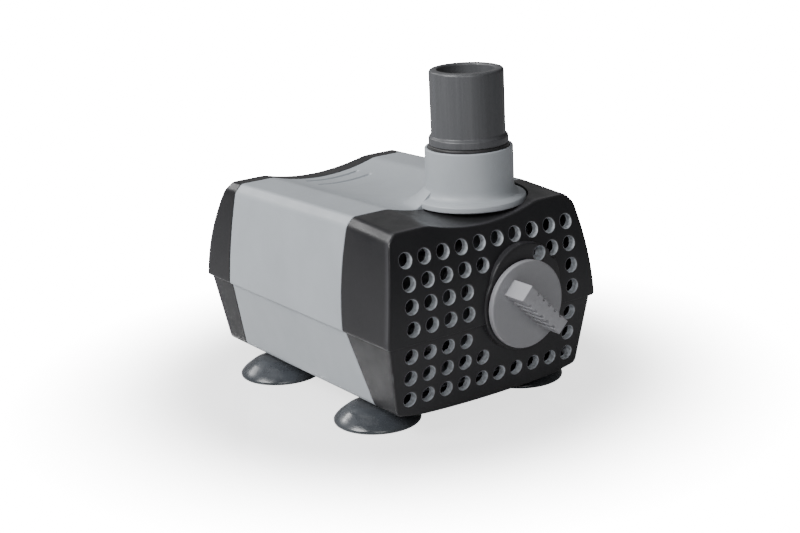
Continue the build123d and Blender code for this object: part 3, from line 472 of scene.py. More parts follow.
def end_cover(form, face, part, grille, sign, shape):
    """One half of an end cover, above or below the waist, as a closed wall.

    The face is a field of square cells with a ring of quads out to the section's outline; it turns over a
    rounded edge and runs back along the casing to the parting line. The inner surface has the same points,
    set in by the wall. Depth behind the face is turned into y at the end.
    """
    plane = FACE_Y if sign > 0 else REAR_Y
    edge, rim, seam = shape.edge_round / MM, shape.rim_round / MM, shape.seam_round / MM
    rows, pitch = len(grille["open"]), grille["pitch"]
    low = grille["first"] - pitch / 2
    high = low + rows * pitch
    half = COLUMNS * CELL_WIDTH / 2

    # cells of the face
    sheets = []
    for row, opened in enumerate(grille["open"]):
        for column in range(1, COLUMNS + 1):
            template, quads = cell_template(sign > 0 and column in opened, pitch, rim)
            points = template + ((column - 5.5) * CELL_WIDTH, grille["first"] + row * pitch, 0)
            depth = face(points[:, 1])
            outer = np.stack([points[:, 0], points[:, 1], depth + points[:, 2]], 1)
            inner = np.stack([points[:, 0], points[:, 1], depth + WALL], 1)
            sheets.append((outer, inner, quads))

    # border of the cells, and the outline that it is carried out to
    count_up, count_across = rows * CELL_STEPS, COLUMNS * CELL_STEPS
    up, across = np.linspace(low, high, count_up + 1), np.linspace(-half, half, count_across + 1)
    border = np.concatenate([
        np.stack([np.full(count_up, -half), up[:-1]], 1),
        np.stack([across[:-1], np.full(count_across, high)], 1),
        np.stack([np.full(count_up, half), up[:0:-1]], 1),
        np.stack([across[:0:-1], np.full(count_across, low)], 1)])
    outline = form.at(np.full(len(form.inner), plane))
    for _ in range(4):  # heights and depths of the outline depend on each other
        outline = form.at(plane + sign * face(outline[:, 1]))

    def closed(line):
        ends = np.linspace(line[-1], line[0], count_across + 1)[1:-1]
        return np.concatenate([line, ends])

    outer_line, inner_line = closed(outline), closed(form.inner)
    inward = border - outer_line
    inward /= np.linalg.norm(inward, axis=1, keepdims=True)
    share = np.linspace(0, 1, 6)[:, None, None]
    flat = border * (1 - share) + (outer_line + edge * inward) * share
    flat_inner = border * (1 - share) + inner_line * share
    outer = np.concatenate([flat, face(flat[..., 1:])], -1)
    inner = np.concatenate([flat_inner, face(flat_inner[..., 1:]) + WALL], -1)
    corner = face(outer_line[:, 1])
    turn = corner_curve(outer[-1], np.c_[outer_line, corner], np.c_[outer_line, corner + edge], 5)[1:]
    creep = 0.01 * np.arange(1, 6)[:, None, None]  # keeps the rows of the inner corner apart
    turn_inner = np.broadcast_to(inner[-1], turn.shape) + creep * (0, 0, 1)
    outer, inner = np.concatenate([outer, turn]), np.concatenate([inner, turn_inner])
    sheets.append((outer.reshape(-1, 3), inner.reshape(-1, 3),
                   grid_quads(len(outer), len(border), False, True)))

    # side and top walls back to the parting line
    width = len(outline)
    begin, begin_inner = outer[-1, :width], inner[-1, :width]
    last = 0.985
    share = np.concatenate([np.linspace(0, 0.97, 14), [last]])[:, None]
    end = part(outline[:, 1]) - SEAM
    for _ in range(3):
        end = part(form.at(plane + sign * end)[:, 1]) - SEAM
    depth = begin[:, 2] + (end - seam - begin[:, 2]) * share / last
    bend = np.linspace(0, np.pi / 2, 5)[1:, None]
    depth = np.concatenate([depth, end - seam + seam * np.sin(bend)])
    draw = np.concatenate([0 * share, 1 - np.cos(bend)]) * seam
    line = form.at(plane + sign * depth)
    toward = form.inner - line
    toward /= np.linalg.norm(toward, axis=-1, keepdims=True)
    line = line + toward * draw[..., None]
    outer = np.concatenate([line, depth[..., None]], -1)
    depth_inner = begin_inner[:, 2] + (end - begin_inner[:, 2]) * np.linspace(0, 1, len(depth))[:, None]
    inner = np.concatenate([np.broadcast_to(form.inner, line.shape), depth_inner[..., None]], -1)
    sheets.append((outer.reshape(-1, 3), inner.reshape(-1, 3), grid_quads(len(depth), width)))

    outer, quads = joined(*[(sheet, quads) for sheet, _, quads in sheets])
    inner, _ = joined(*[(twin, quads) for _, twin, quads in sheets])
    points, quads = thickened(outer, inner, quads)
    x, height, depth = points.T
    return np.stack([x, plane + sign * depth, WAIST + form.up * height], 1), quads


def casing_band(form, part, shape, spacing, relief=None):
    """The middle of the casing, above or below the waist, as a closed wall.

    The section's outline is carried from the front parting line to the rear one, and near both ends it draws
    in by a quarter round. Spacing is where the rows between lie, as shares of the length. Relief changes the
    outer surface's height.
    """
    seam = shape.seam_round / MM
    bend = np.linspace(np.pi / 2, 0, 5)[:-1]
    share = np.concatenate([np.zeros(4), spacing, np.ones(4)])[:, None]
    offset = np.concatenate([-np.sin(bend), 0 * spacing, np.sin(bend[::-1])])[:, None] * seam
    draw = np.concatenate([1 - np.cos(bend), 0 * spacing, 1 - np.cos(bend[::-1])])[:, None] * seam
    outline = form.at(np.full(len(form.inner), FACE_Y + 22.0))  # near the front parting line, for its heights
    rear = REAR_PART - SEAM

    def rows(line):
        front = FACE_Y + part(line[:, 1])
        return front + seam + (rear - front - 2 * seam) * share + offset

    y = rows(outline)
    line = form.at(y)
    toward = form.inner - line
    toward /= np.linalg.norm(toward, axis=-1, keepdims=True)
    if relief is not None:
        line = np.stack([line[..., 0], relief(line[..., 0], y, line[..., 1])], -1)
    line = line + toward * draw[..., None]
    outer = np.concatenate([line, y[..., None]], -1)
    inner = np.concatenate([np.broadcast_to(form.inner, line.shape), rows(form.inner)[..., None]], -1)
    points, quads = thickened(outer.reshape(-1, 3), inner.reshape(-1, 3), grid_quads(*y.shape))
    x, height, y = points.T
    return np.stack([x, y, WAIST + form.up * height], 1), quads


def pad_surface(shape):
    """Raised pad behind the dial, round the one strainer hole that passes through it.

    Its rim is the far side of two discs seen from the hole: along each direction the larger of the two
    distances at which a ray leaves a disc. Rows of points run from the hole's wall over its rim, across the
    flat face, over the outer rim and down into the cover.
    """
    rim = shape.rim_round / MM
    count, edge, top, deep = 160, 0.42, 0.0, 3.2
    angle = np.linspace(0, 2 * np.pi, count, endpoint=False)
    ray = np.stack([np.cos(angle), np.sin(angle)], 1)
    hole = np.array(PAD_HOLE)
    reach = []
    for centre, radius in (((DIAL_X, DIAL_Z), 12.95), ((DIAL_X + 1.1, DIAL_Z + 4.35), 12.1)):
        offset = np.array(centre) - hole
        along = ray @ offset
        reach.append(along + np.sqrt(np.maximum(along ** 2 - offset @ offset + radius ** 2, 0)))
    outline = hole + ray * np.maximum(*reach)[:, None]
    away = outline - EDGE_HOLE
    gap = np.linalg.norm(away, axis=1, keepdims=True)
    outline = EDGE_HOLE + away * np.maximum(1, (HOLE_RADIUS + rim + 0.05) / gap)
    inside = hole + ray * HOLE_RADIUS
    turn = np.linspace(0, np.pi / 2, 5)
    rows, depths = [inside], [deep]
    for t in turn:
        rows.append(inside + ray * rim * (1 - np.cos(t)))
        depths.append(top + rim * (1 - np.sin(t)))
    normal = (np.roll(outline, -1, 0) - np.roll(outline, 1, 0)) @ np.array([[0, -1], [1, 0]])
    normal /= np.linalg.norm(normal, axis=1, keepdims=True)
    hole_rim = rows[-1]
    for share in (0.2, 0.5, 0.8):
        rows.append(hole_rim * (1 - share) + (outline - edge * normal) * share)
        depths.append(top)
    for t in turn:
        rows.append(outline - edge * normal * (1 - np.sin(t)))
        depths.append(top + edge * (1 - np.cos(t)))
    rows.append(outline)
    depths.append(deep)
    rows = np.stack(rows)
    depth = np.broadcast_to(np.array(depths)[:, None], rows.shape[:2])
    points = np.stack([rows[..., 0], FACE_Y - PAD_HEIGHT + depth, rows[..., 1]], -1)
    return points.reshape(-1, 3), grid_quads(len(rows), count, True, True)


def mark_bores(piece):
    """Attribute that is 1 on the walls of the strainer holes and fades out over their rims; the cover's
    material paints a pale highlight there, in place of the light that the walls and rims catch.
    """
    mesh = piece.data
    points = np.empty(3 * len(mesh.vertices), np.float32)
    mesh.vertices.foreach_get("co", points)
    x, _, z = points.reshape(-1, 3).T / MM
    centres = [((column - 5.5) * CELL_WIDTH, WAIST + sign * (rows["first"] + row * rows["pitch"]))
               for rows, sign in ((ROWS_ABOVE, 1), (ROWS_BELOW, -1))
               for row, columns in enumerate(rows["open"]) for column in columns]
    distance = np.full(len(x), 9.0)
    for centre in centres:
        distance = np.minimum(distance, np.hypot(x - centre[0], z - centre[1]))
    bore = np.clip((HOLE_RADIUS + 0.25 - distance) / 0.2, 0, 1)
    mesh.attributes.new("bore", "FLOAT", "POINT").data.foreach_set("value", bore.astype(np.float32))


def flange_relief(shape):
    """Outer height of the upper housing, as a function of x, y and the saddle's height.

    It is the smooth larger of the saddle and a cone falling away from the flange, less the two finger
    grooves, whose depth fades out at both ends.
    """
    sweep, depth = shape.flange_sweep / MM, shape.groove_depth / MM

    def height(x, y, h):
        reach = np.hypot(x - OUTLET_X, y - OUTLET_Y)
        fall = np.clip((reach - FLANGE_RADIUS) / sweep, -1, 4)
        cone = FLANGE_TOP - WAIST - 2.3 * fall * (1.6 - 0.6 * np.clip(fall, 0, 1))
        top = (np.abs(x) < 29) & (h > CEILING)
        smooth = 0.35
        blended = h + smooth * np.logaddexp(0, (cone - h) / smooth) - smooth * np.logaddexp(0, -8)
        result = np.where(top & (fall < 3), np.maximum(blended, h), h)
        for groove in GROOVES:
            across = np.abs(y - FACE_Y - groove) / GROOVE_HALF
            cut = np.clip(1 - across ** 4, 0, 1) * np.clip((9.4 - np.abs(x - 0.2)) / 0.9, 0, 1)
            result = result - np.where(top, depth * cut, 0)
        return result
    return height


# ------------------------------------------------------------------ materials
def blank_material(name):
    """A material with an empty node tree, its output and a principled shader."""
    material = bpy.data.materials.new(name)
    material.use_nodes = True
    tree = material.node_tree
    tree.nodes.clear()
    output = tree.nodes.new("ShaderNodeOutputMaterial")
    shader = tree.nodes.new("ShaderNodeBsdfPrincipled")
    tree.links.new(shader.outputs["BSDF"], output.inputs["Surface"])
    place = tree.nodes.new("ShaderNodeTexCoord")
    return material, tree, shader, place.outputs["Object"]


def noise(tree, place, scale, detail=3.0, roughness=0.55):
    """Noise over the object's own coordinates; scale is in grains per metre."""
    node = tree.nodes.new("ShaderNodeTexNoise")
    node.inputs["Scale"].default_value = scale
    node.inputs["Detail"].default_value = detail
    node.inputs["Roughness"].default_value = roughness
    tree.links.new(place, node.inputs["Vector"])
    return node.outputs["Fac"]


def ranged(tree, value, low, high, start=0.0, end=1.0):
    """Moves a value from start..end to low..high."""
    node = tree.nodes.new("ShaderNodeMapRange")
    for name, number in (("From Min", start), ("From Max", end), ("To Min", low), ("To Max", high)):
        node.inputs[name].default_value = number
    tree.links.new(value, node.inputs["Value"])
    return node.outputs["Result"]


def product(tree, first, second):
    """One value times another."""
    node = tree.nodes.new("ShaderNodeMath")
    node.operation = "MULTIPLY"
    tree.links.new(first, node.inputs[0])
    tree.links.new(second, node.inputs[1])
    return node.outputs["Value"]


def mixed(tree, share, first, second):
    """Colour between two colours, by a share."""
    node = tree.nodes.new("ShaderNodeMix")
    node.data_type = "RGBA"
    tree.links.new(share, node.inputs["Factor"])
    for socket, colour in ((node.inputs["A"], first), (node.inputs["B"], second)):
        if isinstance(colour, bpy.types.NodeSocket):
            tree.links.new(colour, socket)
        else:
            socket.default_value = (*colour[:3], 1)
    return node.outputs["Result"]


def bumped(tree, height, strength, distance, before=None):
    """Bump from a height, on top of an earlier one."""
    node = tree.nodes.new("ShaderNodeBump")
    node.inputs["Strength"].default_value = strength
    node.inputs["Distance"].default_value = distance
    tree.links.new(height, node.inputs["Height"])
    if before is not None:
        tree.links.new(before, node.inputs["Normal"])
    return node.outputs["Normal"]


def shaded(colour, share):
    """A colour made lighter or darker."""
    return tuple(min(1.0, c * share) for c in colour)


def mottled(tree, value, start, end, colour, first, second):
    """Colour that goes from one shade to another as a value goes from start to end."""
    return mixed(tree, ranged(tree, value, 0, 1, start, end), shaded(colour, first), shaded(colour, second))


def plugged(tree, shader, colour, roughness, normal):
    """Gives a shader its colour, roughness and normal."""
    for name, value in (("Base Color", colour), ("Roughness", roughness), ("Normal", normal)):
        tree.links.new(value, shader.inputs[name])


def moulded_plastic(name, colour, roughness, grain, edge_wear_and_highlight, grain_scale=2600.0, bore=None, gloss=0.5):
    """Moulded plastic: fine grain, faint flow marks in colour and gloss, and paler edges, partly wear and
    partly a painted highlight; given a hole colour, also a painted highlight on the walls and rims of the
    strainer holes.
    """
    material, tree, shader, place = blank_material(name)
    flow = noise(tree, place, 38.0, 4.0)
    base = mottled(tree, flow, 0.3, 0.7, colour, 0.93, 1.07)
    # paler convex edges, partly wear and partly a painted highlight: pointiness lifts the colour, five times
    # over on the dark plastics, in place of the light that the rounded edges catch
    edge = tree.nodes.new("ShaderNodeNewGeometry")
    wear_and_edge_highlight = ranged(tree, edge.outputs["Pointiness"], 0, edge_wear_and_highlight, 0.52, 0.6)
    base = mixed(tree, wear_and_edge_highlight, base, shaded(colour, 1.9 if max(colour) > 0.1 else 5.0))
    # painted highlight on the strainer holes: the walls and rims marked by the bore attribute turn pale,
    # broken up by noise, in place of the light they catch
    if bore:
        mark = tree.nodes.new("ShaderNodeAttribute")
        mark.attribute_name = "bore"
        highlight = ranged(tree, noise(tree, place, 700.0, 3.0), 0.55, 1.0, 0.35, 0.65)
        base = mixed(tree, product(tree, mark.outputs["Fac"], highlight), base, bore)
    sheen = ranged(tree, noise(tree, place, 210.0, 5.0), roughness - 0.05, roughness + 0.06, 0.3, 0.7)
    fine = noise(tree, place, grain_scale, 2.0)
    waves = noise(tree, place, 120.0, 2.0)
    plugged(tree, shader, base, sheen, bumped(tree, fine, grain, 0.00012, bumped(tree, waves, 0.05, 0.0006)))
    shader.inputs["Specular IOR Level"].default_value = gloss
    return material


def soft_rubber(name, colour, roughness=0.55):
    """Rubber: matt, with a faint bloom and a soft uneven skin."""
    material, tree, shader, place = blank_material(name)
    bloom = noise(tree, place, 140.0, 5.0, 0.65)
    plugged(tree, shader, mottled(tree, bloom, 0.35, 0.75, colour, 1.0, 1.5),
            ranged(tree, bloom, roughness - 0.08, roughness + 0.12, 0.3, 0.7),
            bumped(tree, noise(tree, place, 1500.0, 3.0), 0.12, 0.00015))
    shader.inputs["Sheen Weight"].default_value = 0.15
    shader.inputs["Sheen Roughness"].default_value = 0.5
    return material


def streaked_plastic(name, colour, roughness, centre):
    """Turned-looking plastic: fine upright draw lines round the outlet axis, from the angle about it."""
    material, tree, shader, place = blank_material(name)
    shift = tree.nodes.new("ShaderNodeMapping")
    shift.inputs["Location"].default_value = (-centre[0] * MM, -centre[1] * MM, 0)
    tree.links.new(place, shift.inputs["Vector"])
    squeeze = tree.nodes.new("ShaderNodeMapping")
    squeeze.inputs["Scale"].default_value = (1, 1, 0.02)
    tree.links.new(shift.outputs["Vector"], squeeze.inputs["Vector"])
    lines = noise(tree, squeeze.outputs["Vector"], 900.0, 4.0, 0.6)
    flow = noise(tree, place, 60.0, 3.0)
    base = mottled(tree, lines, 0.3, 0.7, colour, 0.88, 1.14)
    base = mixed(tree, ranged(tree, flow, 0, 0.5, 0.3, 0.7), base, shaded(colour, 1.1))
    fine = noise(tree, place, 2400.0, 2.0)
    plugged(tree, shader, base, ranged(tree, lines, roughness - 0.05, roughness + 0.08, 0.3, 0.7),
            bumped(tree, fine, 0.1, 0.0001, bumped(tree, lines, 0.35, 0.00025)))
    return material


def stacked_steel(name, colour, sheet=0.0005):
    """Stack of sheet steel: a thin dark line at every sheet along the motor, and mottled steel between."""
    material, tree, shader, place = blank_material(name)
    bands = tree.nodes.new("ShaderNodeTexWave")
    bands.bands_direction = "Y"
    bands.inputs["Scale"].default_value = math.pi / (20 * sheet)
    bands.inputs["Distortion"].default_value = 0.4
    tree.links.new(place, bands.inputs["Vector"])
    lines = ranged(tree, bands.outputs["Fac"], 0, 1, 0.05, 0.4)
    rust = noise(tree, place, 320.0, 5.0, 0.7)
    base = mixed(tree, lines, shaded(colour, 0.3), mottled(tree, rust, 0.35, 0.75, colour, 1.0, 0.7))
    plugged(tree, shader, base, ranged(tree, rust, 0.32, 0.55), bumped(tree, lines, 0.5, 0.0001))
    shader.inputs["Metallic"].default_value = 1.0
    return material


def wound_wire(name, colour):
    """Enamelled wire wound side by side along the coil, with slight breaks in the layers."""
    material, tree, shader, place = blank_material(name)
    turns = tree.nodes.new("ShaderNodeTexWave")
    turns.bands_direction = "X"
    turns.inputs["Scale"].default_value = 1000.0
    turns.inputs["Distortion"].default_value = 0.8
    turns.inputs["Detail"].default_value = 1.0
    tree.links.new(place, turns.inputs["Vector"])
    patch = noise(tree, place, 260.0, 3.0)
    base = mottled(tree, patch, 0.35, 0.7, colour, 0.75, 1.15)
    base = mixed(tree, ranged(tree, turns.outputs["Fac"], 0, 1, 0.0, 0.35), shaded(colour, 0.3), base)
    plugged(tree, shader, base, ranged(tree, patch, 0.22, 0.4),
            bumped(tree, turns.outputs["Fac"], 0.8, 0.00012))
    shader.inputs["Metallic"].default_value = 0.9
    shader.inputs["Coat Weight"].default_value = 0.6
    return material


def ground_surface(name, colour, roughness, metallic=0.0, coat=0.0, grain=900.0, spread=0.25, bump=0.15):
    """Hard ground or cast surface: mottled colour, uneven gloss and a shallow grain."""
    material, tree, shader, place = blank_material(name)
    spots = noise(tree, place, grain, 5.0, 0.65)
    plugged(tree, shader, mottled(tree, spots, 0.35, 0.7, colour, 1 - spread, 1 + spread),
            ranged(tree, spots, roughness - 0.06, roughness + 0.08, 0.3, 0.7),
            bumped(tree, spots, bump, 0.0001))
    shader.inputs["Metallic"].default_value = metallic
    shader.inputs["Coat Weight"].default_value = coat
    return material


def slot_material(slot):
    """The finish for one of the record's material slots, made once."""
    name = f"{slot}_finish"
    found = bpy.data.materials.get(name)
    if found:
        return found
    look = bpy.context.scene.pump_finish
    satin, grain = look.satin, look.grain
    maker, *values = {
        # the moulded plastics get paler edges, partly wear and partly a painted highlight; the cover also
        # gets a painted highlight on its hole walls
        "cover_black": (moulded_plastic, look.cover_colour, satin - 0.08, grain, 0.4, 2600.0,
                        look.bore_highlight_colour, 0.35),
        "housing_grey": (moulded_plastic, look.housing_colour, satin + 0.04, grain * 0.7, 0.2),
        "nozzle_grey": (streaked_plastic, look.nozzle_colour, satin - 0.02, (OUTLET_X, OUTLET_Y)),
        "dial_grey": (moulded_plastic, look.dial_colour, satin + 0.05, grain, 0.25),
        "cup_rubber": (soft_rubber, look.cup_colour, 0.25),
        "seal_rubber": (soft_rubber, (0.012, 0.012, 0.013), 0.5),
        "inner_plastic": (moulded_plastic, (0.055, 0.058, 0.062), 0.5, 0.3, 0.3, 1500.0),
        "impeller_plastic": (moulded_plastic, (0.72, 0.73, 0.70), 0.38, 0.12, 0.1),
        "ferrite": (ground_surface, (0.045, 0.045, 0.05), 0.5, 0.3, 0.0, 1400.0, 0.3, 0.35),
        "ceramic": (ground_surface, (0.82, 0.80, 0.75), 0.15, 0.0, 0.5, 500.0, 0.04, 0.03),
        "steel_laminations": (stacked_steel, (0.40, 0.41, 0.43)),
        "copper": (wound_wire, (0.72, 0.30, 0.13)),
        "screw_steel": (ground_surface, (0.58, 0.58, 0.60), 0.3, 1.0, 0.0, 1800.0, 0.08, 0.2),
        "resin": (ground_surface, (0.022, 0.022, 0.025), 0.18, 0.0, 0.8, 120.0, 0.2, 0.12),
    }[slot]
    return maker(name, *values)


# ------------------------------------------------------------------ operators
class PUMP_OT_strainer_cover(bpy.types.Operator):
    """Builds the perforated strainer cover with its raised dial pad."""

    bl_idname = "pump.strainer_cover"
    bl_label = "Strainer cover"

    def execute(self, context):
        shape = context.scene.pump_shape
        crease = shape.crease_round / MM
        upper = end_cover(UpperForm(crease), UPPER_FRONT, UPPER_PART, ROWS_ABOVE, 1, shape)
        lower = end_cover(LowerForm(crease), LOWER_LEAN, LOWER_PART, ROWS_BELOW, 1, shape)
        piece = new_piece("strainer_cover", upper, "strainer", ["front_cover"], "cover_black")

        # round pocket for the flange, then a U-shaped slot for the chamber's stub
        radius, floor, above = 15.86, 54.8, 64.0
        cut_away(piece, *turned([(0, floor), (radius, floor), (radius, above), (0, above)],
                                (OUTLET_X, OUTLET_Y, 0), 128))
        radius, floor, back = 10.3, 45.0, 8.0
        angle = np.linspace(np.pi, 2 * np.pi, 49)
        slot = np.concatenate([radius * np.stack([np.cos(angle), np.sin(angle)], 1),
                               [(radius, back), (-radius, back)]])
        slot = slot + (OUTLET_X, OUTLET_Y)
        middle = np.repeat(slot.mean(0)[None], len(slot), 0)
        rows = ((middle, floor), (slot, floor), (slot, above), (middle, above))
        walls = np.concatenate([np.c_[line, np.full(len(slot), z)] for line, z in rows])
        cut_away(piece, walls, grid_quads(len(rows), len(slot), False, True))
        add_surfaces(piece, lower, pad_surface(shape))
        mark_bores(piece)
        return {"FINISHED"}


class PUMP_OT_housing(bpy.types.Operator):
    """Builds the upper and lower halves of the grey housing."""

    bl_idname = "pump.housing"
    bl_label = "Housing"

    def execute(self, context):
        shape = context.scene.pump_shape
        crease = shape.crease_round / MM

        # rows close together round the flange and in the grooves, wider apart elsewhere
        length = REAR_PART - SEAM - FACE_Y - CREST
        near = np.arange(0, 16, 0.6)
        half = np.array([0.36, 0.58, 0.7, 0.78, 0.83, 1.0])
        groove = np.concatenate([d - CREST + np.concatenate([-half[::-1], [0], half]) for d in GROOVES])
        plain = np.arange(17, length, 1.6)
        plain = plain[np.abs(plain[:, None] - groove).min(1) > 0.5]
        spacing = np.unique(np.clip(np.concatenate([near, plain, groove, [length]]) / length, 0, 1))
        upper = casing_band(UpperForm(crease, 2), UPPER_PART, shape, spacing, flange_relief(shape))
        new_piece("housing_upper_shell", upper, "housing", ["upper_housing"], "housing_grey")
        lower = casing_band(LowerForm(crease, 1, 0.2), LOWER_PART, shape, np.linspace(0, 1, 40))
        new_piece("housing_lower_shell", lower, "housing", ["lower_housing"], "housing_grey")
        return {"FINISHED"}


class PUMP_OT_rear_cap(bpy.types.Operator):
    """Builds the closed rear cap."""

    bl_idname = "pump.rear_cap"
    bl_label = "Rear cap"

    def execute(self, context):
        shape = context.scene.pump_shape
        crease = shape.crease_round / MM
        deep = np.poly1d((REAR_Y - REAR_PART + SEAM,))
        upper = end_cover(UpperForm(crease), UPPER_REAR, deep, ROWS_ABOVE, -1, shape)
        lower = end_cover(LowerForm(crease), LOWER_LEAN, deep, ROWS_BELOW, -1, shape)
        new_piece("rear_cap_shell", joined(upper, lower), "housing", ["rear_cap"], "cover_black")
        return {"FINISHED"}


class PUMP_OT_outlet(bpy.types.Operator):
    """Builds the flange and collar, the nozzle and its sealing ring."""

    bl_idname = "pump.outlet"
    bl_label = "Outlet"

    def execute(self, context):
        centre = (OUTLET_X, OUTLET_Y, 0)
        radius, top = (collar_high[0] - collar_low[0]) / 2, collar_high[2]
        bore, stub, under, seat = 11.2, 9.7, 55.32, 60.8
        profile = np.concatenate([
            [(stub, under)],
            corner_curve((15.0, under), (FLANGE_RADIUS, under), (FLANGE_RADIUS, 55.7), 4),
            corner_curve((FLANGE_RADIUS, 56.6), (FLANGE_RADIUS, 56.9), (15.1, 57.05), 4),
            corner_curve((13.9, 57.62), (radius, 57.75), (radius, 60.5), 8),
            corner_curve((radius, top - 0.45), (radius, top), (radius - 0.45, top), 6),
            corner_curve((bore + 0.4, top), (bore, top), (bore, top - 0.4), 5),
            [(bore, seat), (stub, seat)]])
        new_piece("outlet_tower", turned(profile, centre, 160), "housing", ["outlet_collar"], "housing_grey")

        low, high = nozzle_low[2], nozzle_high[2]
        seat, ring = seal_low[2], seal_high[2]
        profile = rounded_profile(
            [(7.8, low), (9.9, low), (10.9, low + 1), (10.9, seat), (9.4, seat), (9.4, ring), (10.92, ring),
             (10.92, ring + 1.9), (10.2, ring + 2.5), (10.2, high), (7.8, high)],
            [0.2, 0.2, 0.2, 0.15, 0.15, 0.15, 0.25, 0.35, 0.3, 0.95, 0.7], 6)
        new_piece("nozzle_barrel", turned(profile, centre, 192), "nozzle", ["outlet_nozzle"], "nozzle_grey")

        inner, outer = 9.45, (seal_high[0] - seal_low[0]) / 2
        low, high = seat + 0.03, ring - 0.03
        profile = rounded_profile([(inner, low), (outer, low), (outer, high), (inner, high)],
                                  [0.3, 0.7, 0.7, 0.3], 6)
        new_piece("nozzle_ring", turned(profile, centre, 128), "nozzle", ["nozzle_seal"], "seal_rubber")
        return {"FINISHED"}


class PUMP_OT_dial(bpy.types.Operator):
    """Builds the flow dial with its notched grip and stem."""

    bl_idname = "pump.dial"
    bl_label = "Flow dial"

    def execute(self, context):
        radius = (dial_high[0] - dial_low[0]) / 2
        front = dial_low[1]
        back = FACE_Y - PAD_HEIGHT - 0.25
        face = back - 1.7
        profile = np.concatenate([
            [(0, back)], corner_curve((radius - 0.3, back), (radius, back), (radius, back - 0.3), 3),
            corner_curve((radius, face + 0.5), (radius, face), (radius - 0.5, face), 6),
            [(radius - 1.4, face), (radius - 4, face), (0, face)]])
        centre = (DIAL_X, 0, DIAL_Z)
        disc = turned(profile, centre, 160, "y")
        stem = turned([(0, back + 0.5), (2.4, back), (2.4, dial_high[1]), (0, dial_high[1])], centre, 48, "y")

        # notched outline of the grip: its half-width tapers, and dips by a round notch at each of five places
        length, count, edge = 17.5, 240, 0.3
        along = np.linspace(-length / 2, length / 2, count)
        notch, places = 0.72, (np.arange(5) - 2) * 2.7
        dip = np.sqrt(np.maximum(notch ** 2 - (along[:, None] - places) ** 2, 0)).max(1)
        half = 2.3 - 0.15 * (along / (length / 2)) - dip
        side = np.stack([along, half], 1)
        outline = np.concatenate([side, side[::-1] * (1, -1)])
        inner = outline * ((length / 2 - edge) / (length / 2), 1)
        inner = np.stack([inner[:, 0], np.sign(inner[:, 1]) * (np.abs(inner[:, 1]) - edge)], 1)

        # rows from the dial's face up the sides, over the rounded edge and in to the middle line
        rows, depths = [outline], [face + 0.4]
        for turn in np.linspace(0, np.pi / 2, 5):
            rows.append(inner + (outline - inner) * math.cos(turn))
            depths.append(front + edge * (1 - math.sin(turn)))
        rows.append(inner * (1, 0))
        depths.append(front)
        turn = math.radians(-45)
        spin = np.array([[math.cos(turn), math.sin(turn)], [-math.sin(turn), math.cos(turn)]])
        flat = np.stack(rows) @ spin
        y = np.broadcast_to(np.array(depths)[:, None], flat.shape[:2])
        points = np.stack([DIAL_X + flat[..., 0], y, DIAL_Z + flat[..., 1]], -1)
        bottom = np.broadcast_to(points[:1].mean(1, keepdims=True), points[:1].shape)
        points = np.concatenate([bottom, points])
        grip = points.reshape(-1, 3), grid_quads(len(points), points.shape[1], False, True)
        new_piece("dial_knob", joined(disc, stem, grip), "dial", ["flow_dial"], "dial_grey", 40)
        return {"FINISHED"}


class PUMP_OT_feet(bpy.types.Operator):
    """Builds the four suction cups."""

    bl_idname = "pump.feet"
    bl_label = "Suction cups"

    def execute(self, context):
        for end in ("front", "rear"):
            for side in ("left", "right"):
                node = f"suction_cup_{end}_{side}"
                low, high = corners(node)
                centre = ((low[0] + high[0]) / 2, (low[1] + high[1]) / 2, 0)
                radius, height = (high[0] - low[0]) / 2, high[2]
                dome = corner_curve((4.6, 4.85), (8.2, 4.7), (radius - 0.25, 0.95), 18)
                ripple = 0.05 * np.sin(np.linspace(0, 5 * np.pi, len(dome)))
                dome = dome + np.stack([0 * ripple, ripple], 1)
                hollow = corner_curve((radius - 0.8, 0.0), (6.5, 3.9), (0, 4.1), 14)
                profile = np.concatenate([
                    [(0, height), (2.4, height), (3.2, height - 1.2), (3.2, height - 1.6),
                     (2.3, height - 1.7)],
                    corner_curve((2.3, 5.6), (2.35, 5.0), (3.2, 5.0), 5), dome,
                    corner_curve((radius, 0.6), (radius, 0.0), (radius - 0.3, 0.0), 5), hollow])
                surface = turned(profile, centre, 96)
                new_piece(f"cup_{end}_{side}", surface, "housing", [node], "cup_rubber", 45)
        return {"FINISHED"}


class PUMP_OT_gland(bpy.types.Operator):
    """Builds the rubber cable gland in the rear cap."""

    bl_idname = "pump.gland"
    bl_label = "Cable gland"

    def execute(self, context):
        centre = ((gland_low[0] + gland_high[0]) / 2, 0, (gland_low[2] + gland_high[2]) / 2)
        back, front, wide = gland_high[1], gland_low[1], (gland_high[0] - gland_low[0]) / 2
        out = REAR_Y - STEP - 0.2
        profile = rounded_profile(
            [(3.2, front), (wide, front), (wide, front + 2.4), (5.0, front + 2.4), (5.0, out), (wide, out),
             (5.9, out + 1.6), (5.9, out + 2.2), (5.4, out + 2.9), (5.5, out + 3.4), (5.0, back),
             (3.2, back)],
            [0.3, 0.4, 0.4, 0.1, 0.1, 0.35, 0.25, 0.25, 0.2, 0.2, 0.5, 0.4], 5)
        surface = turned(profile, centre, 128, "y")
        new_piece("inlet_gland", surface, "housing", ["cable_gland"], "seal_rubber", 45)
        return {"FINISHED"}


class PUMP_OT_inner_parts(bpy.types.Operator):
    """Gives every CAD node that is shown as it is the finish of its material slot."""

    bl_idname = "pump.inner_parts"
    bl_label = "Inner parts"

    def execute(self, context):
        for part in frame["record"]["subparts"]:
            node = frame["nodes"][part["node"]]
            material = slot_material(part["material_slot"])
            if not node.material_slots:
                node.data.materials.append(material)
            for slot in node.material_slots:
                slot.material = material
        return {"FINISHED"}


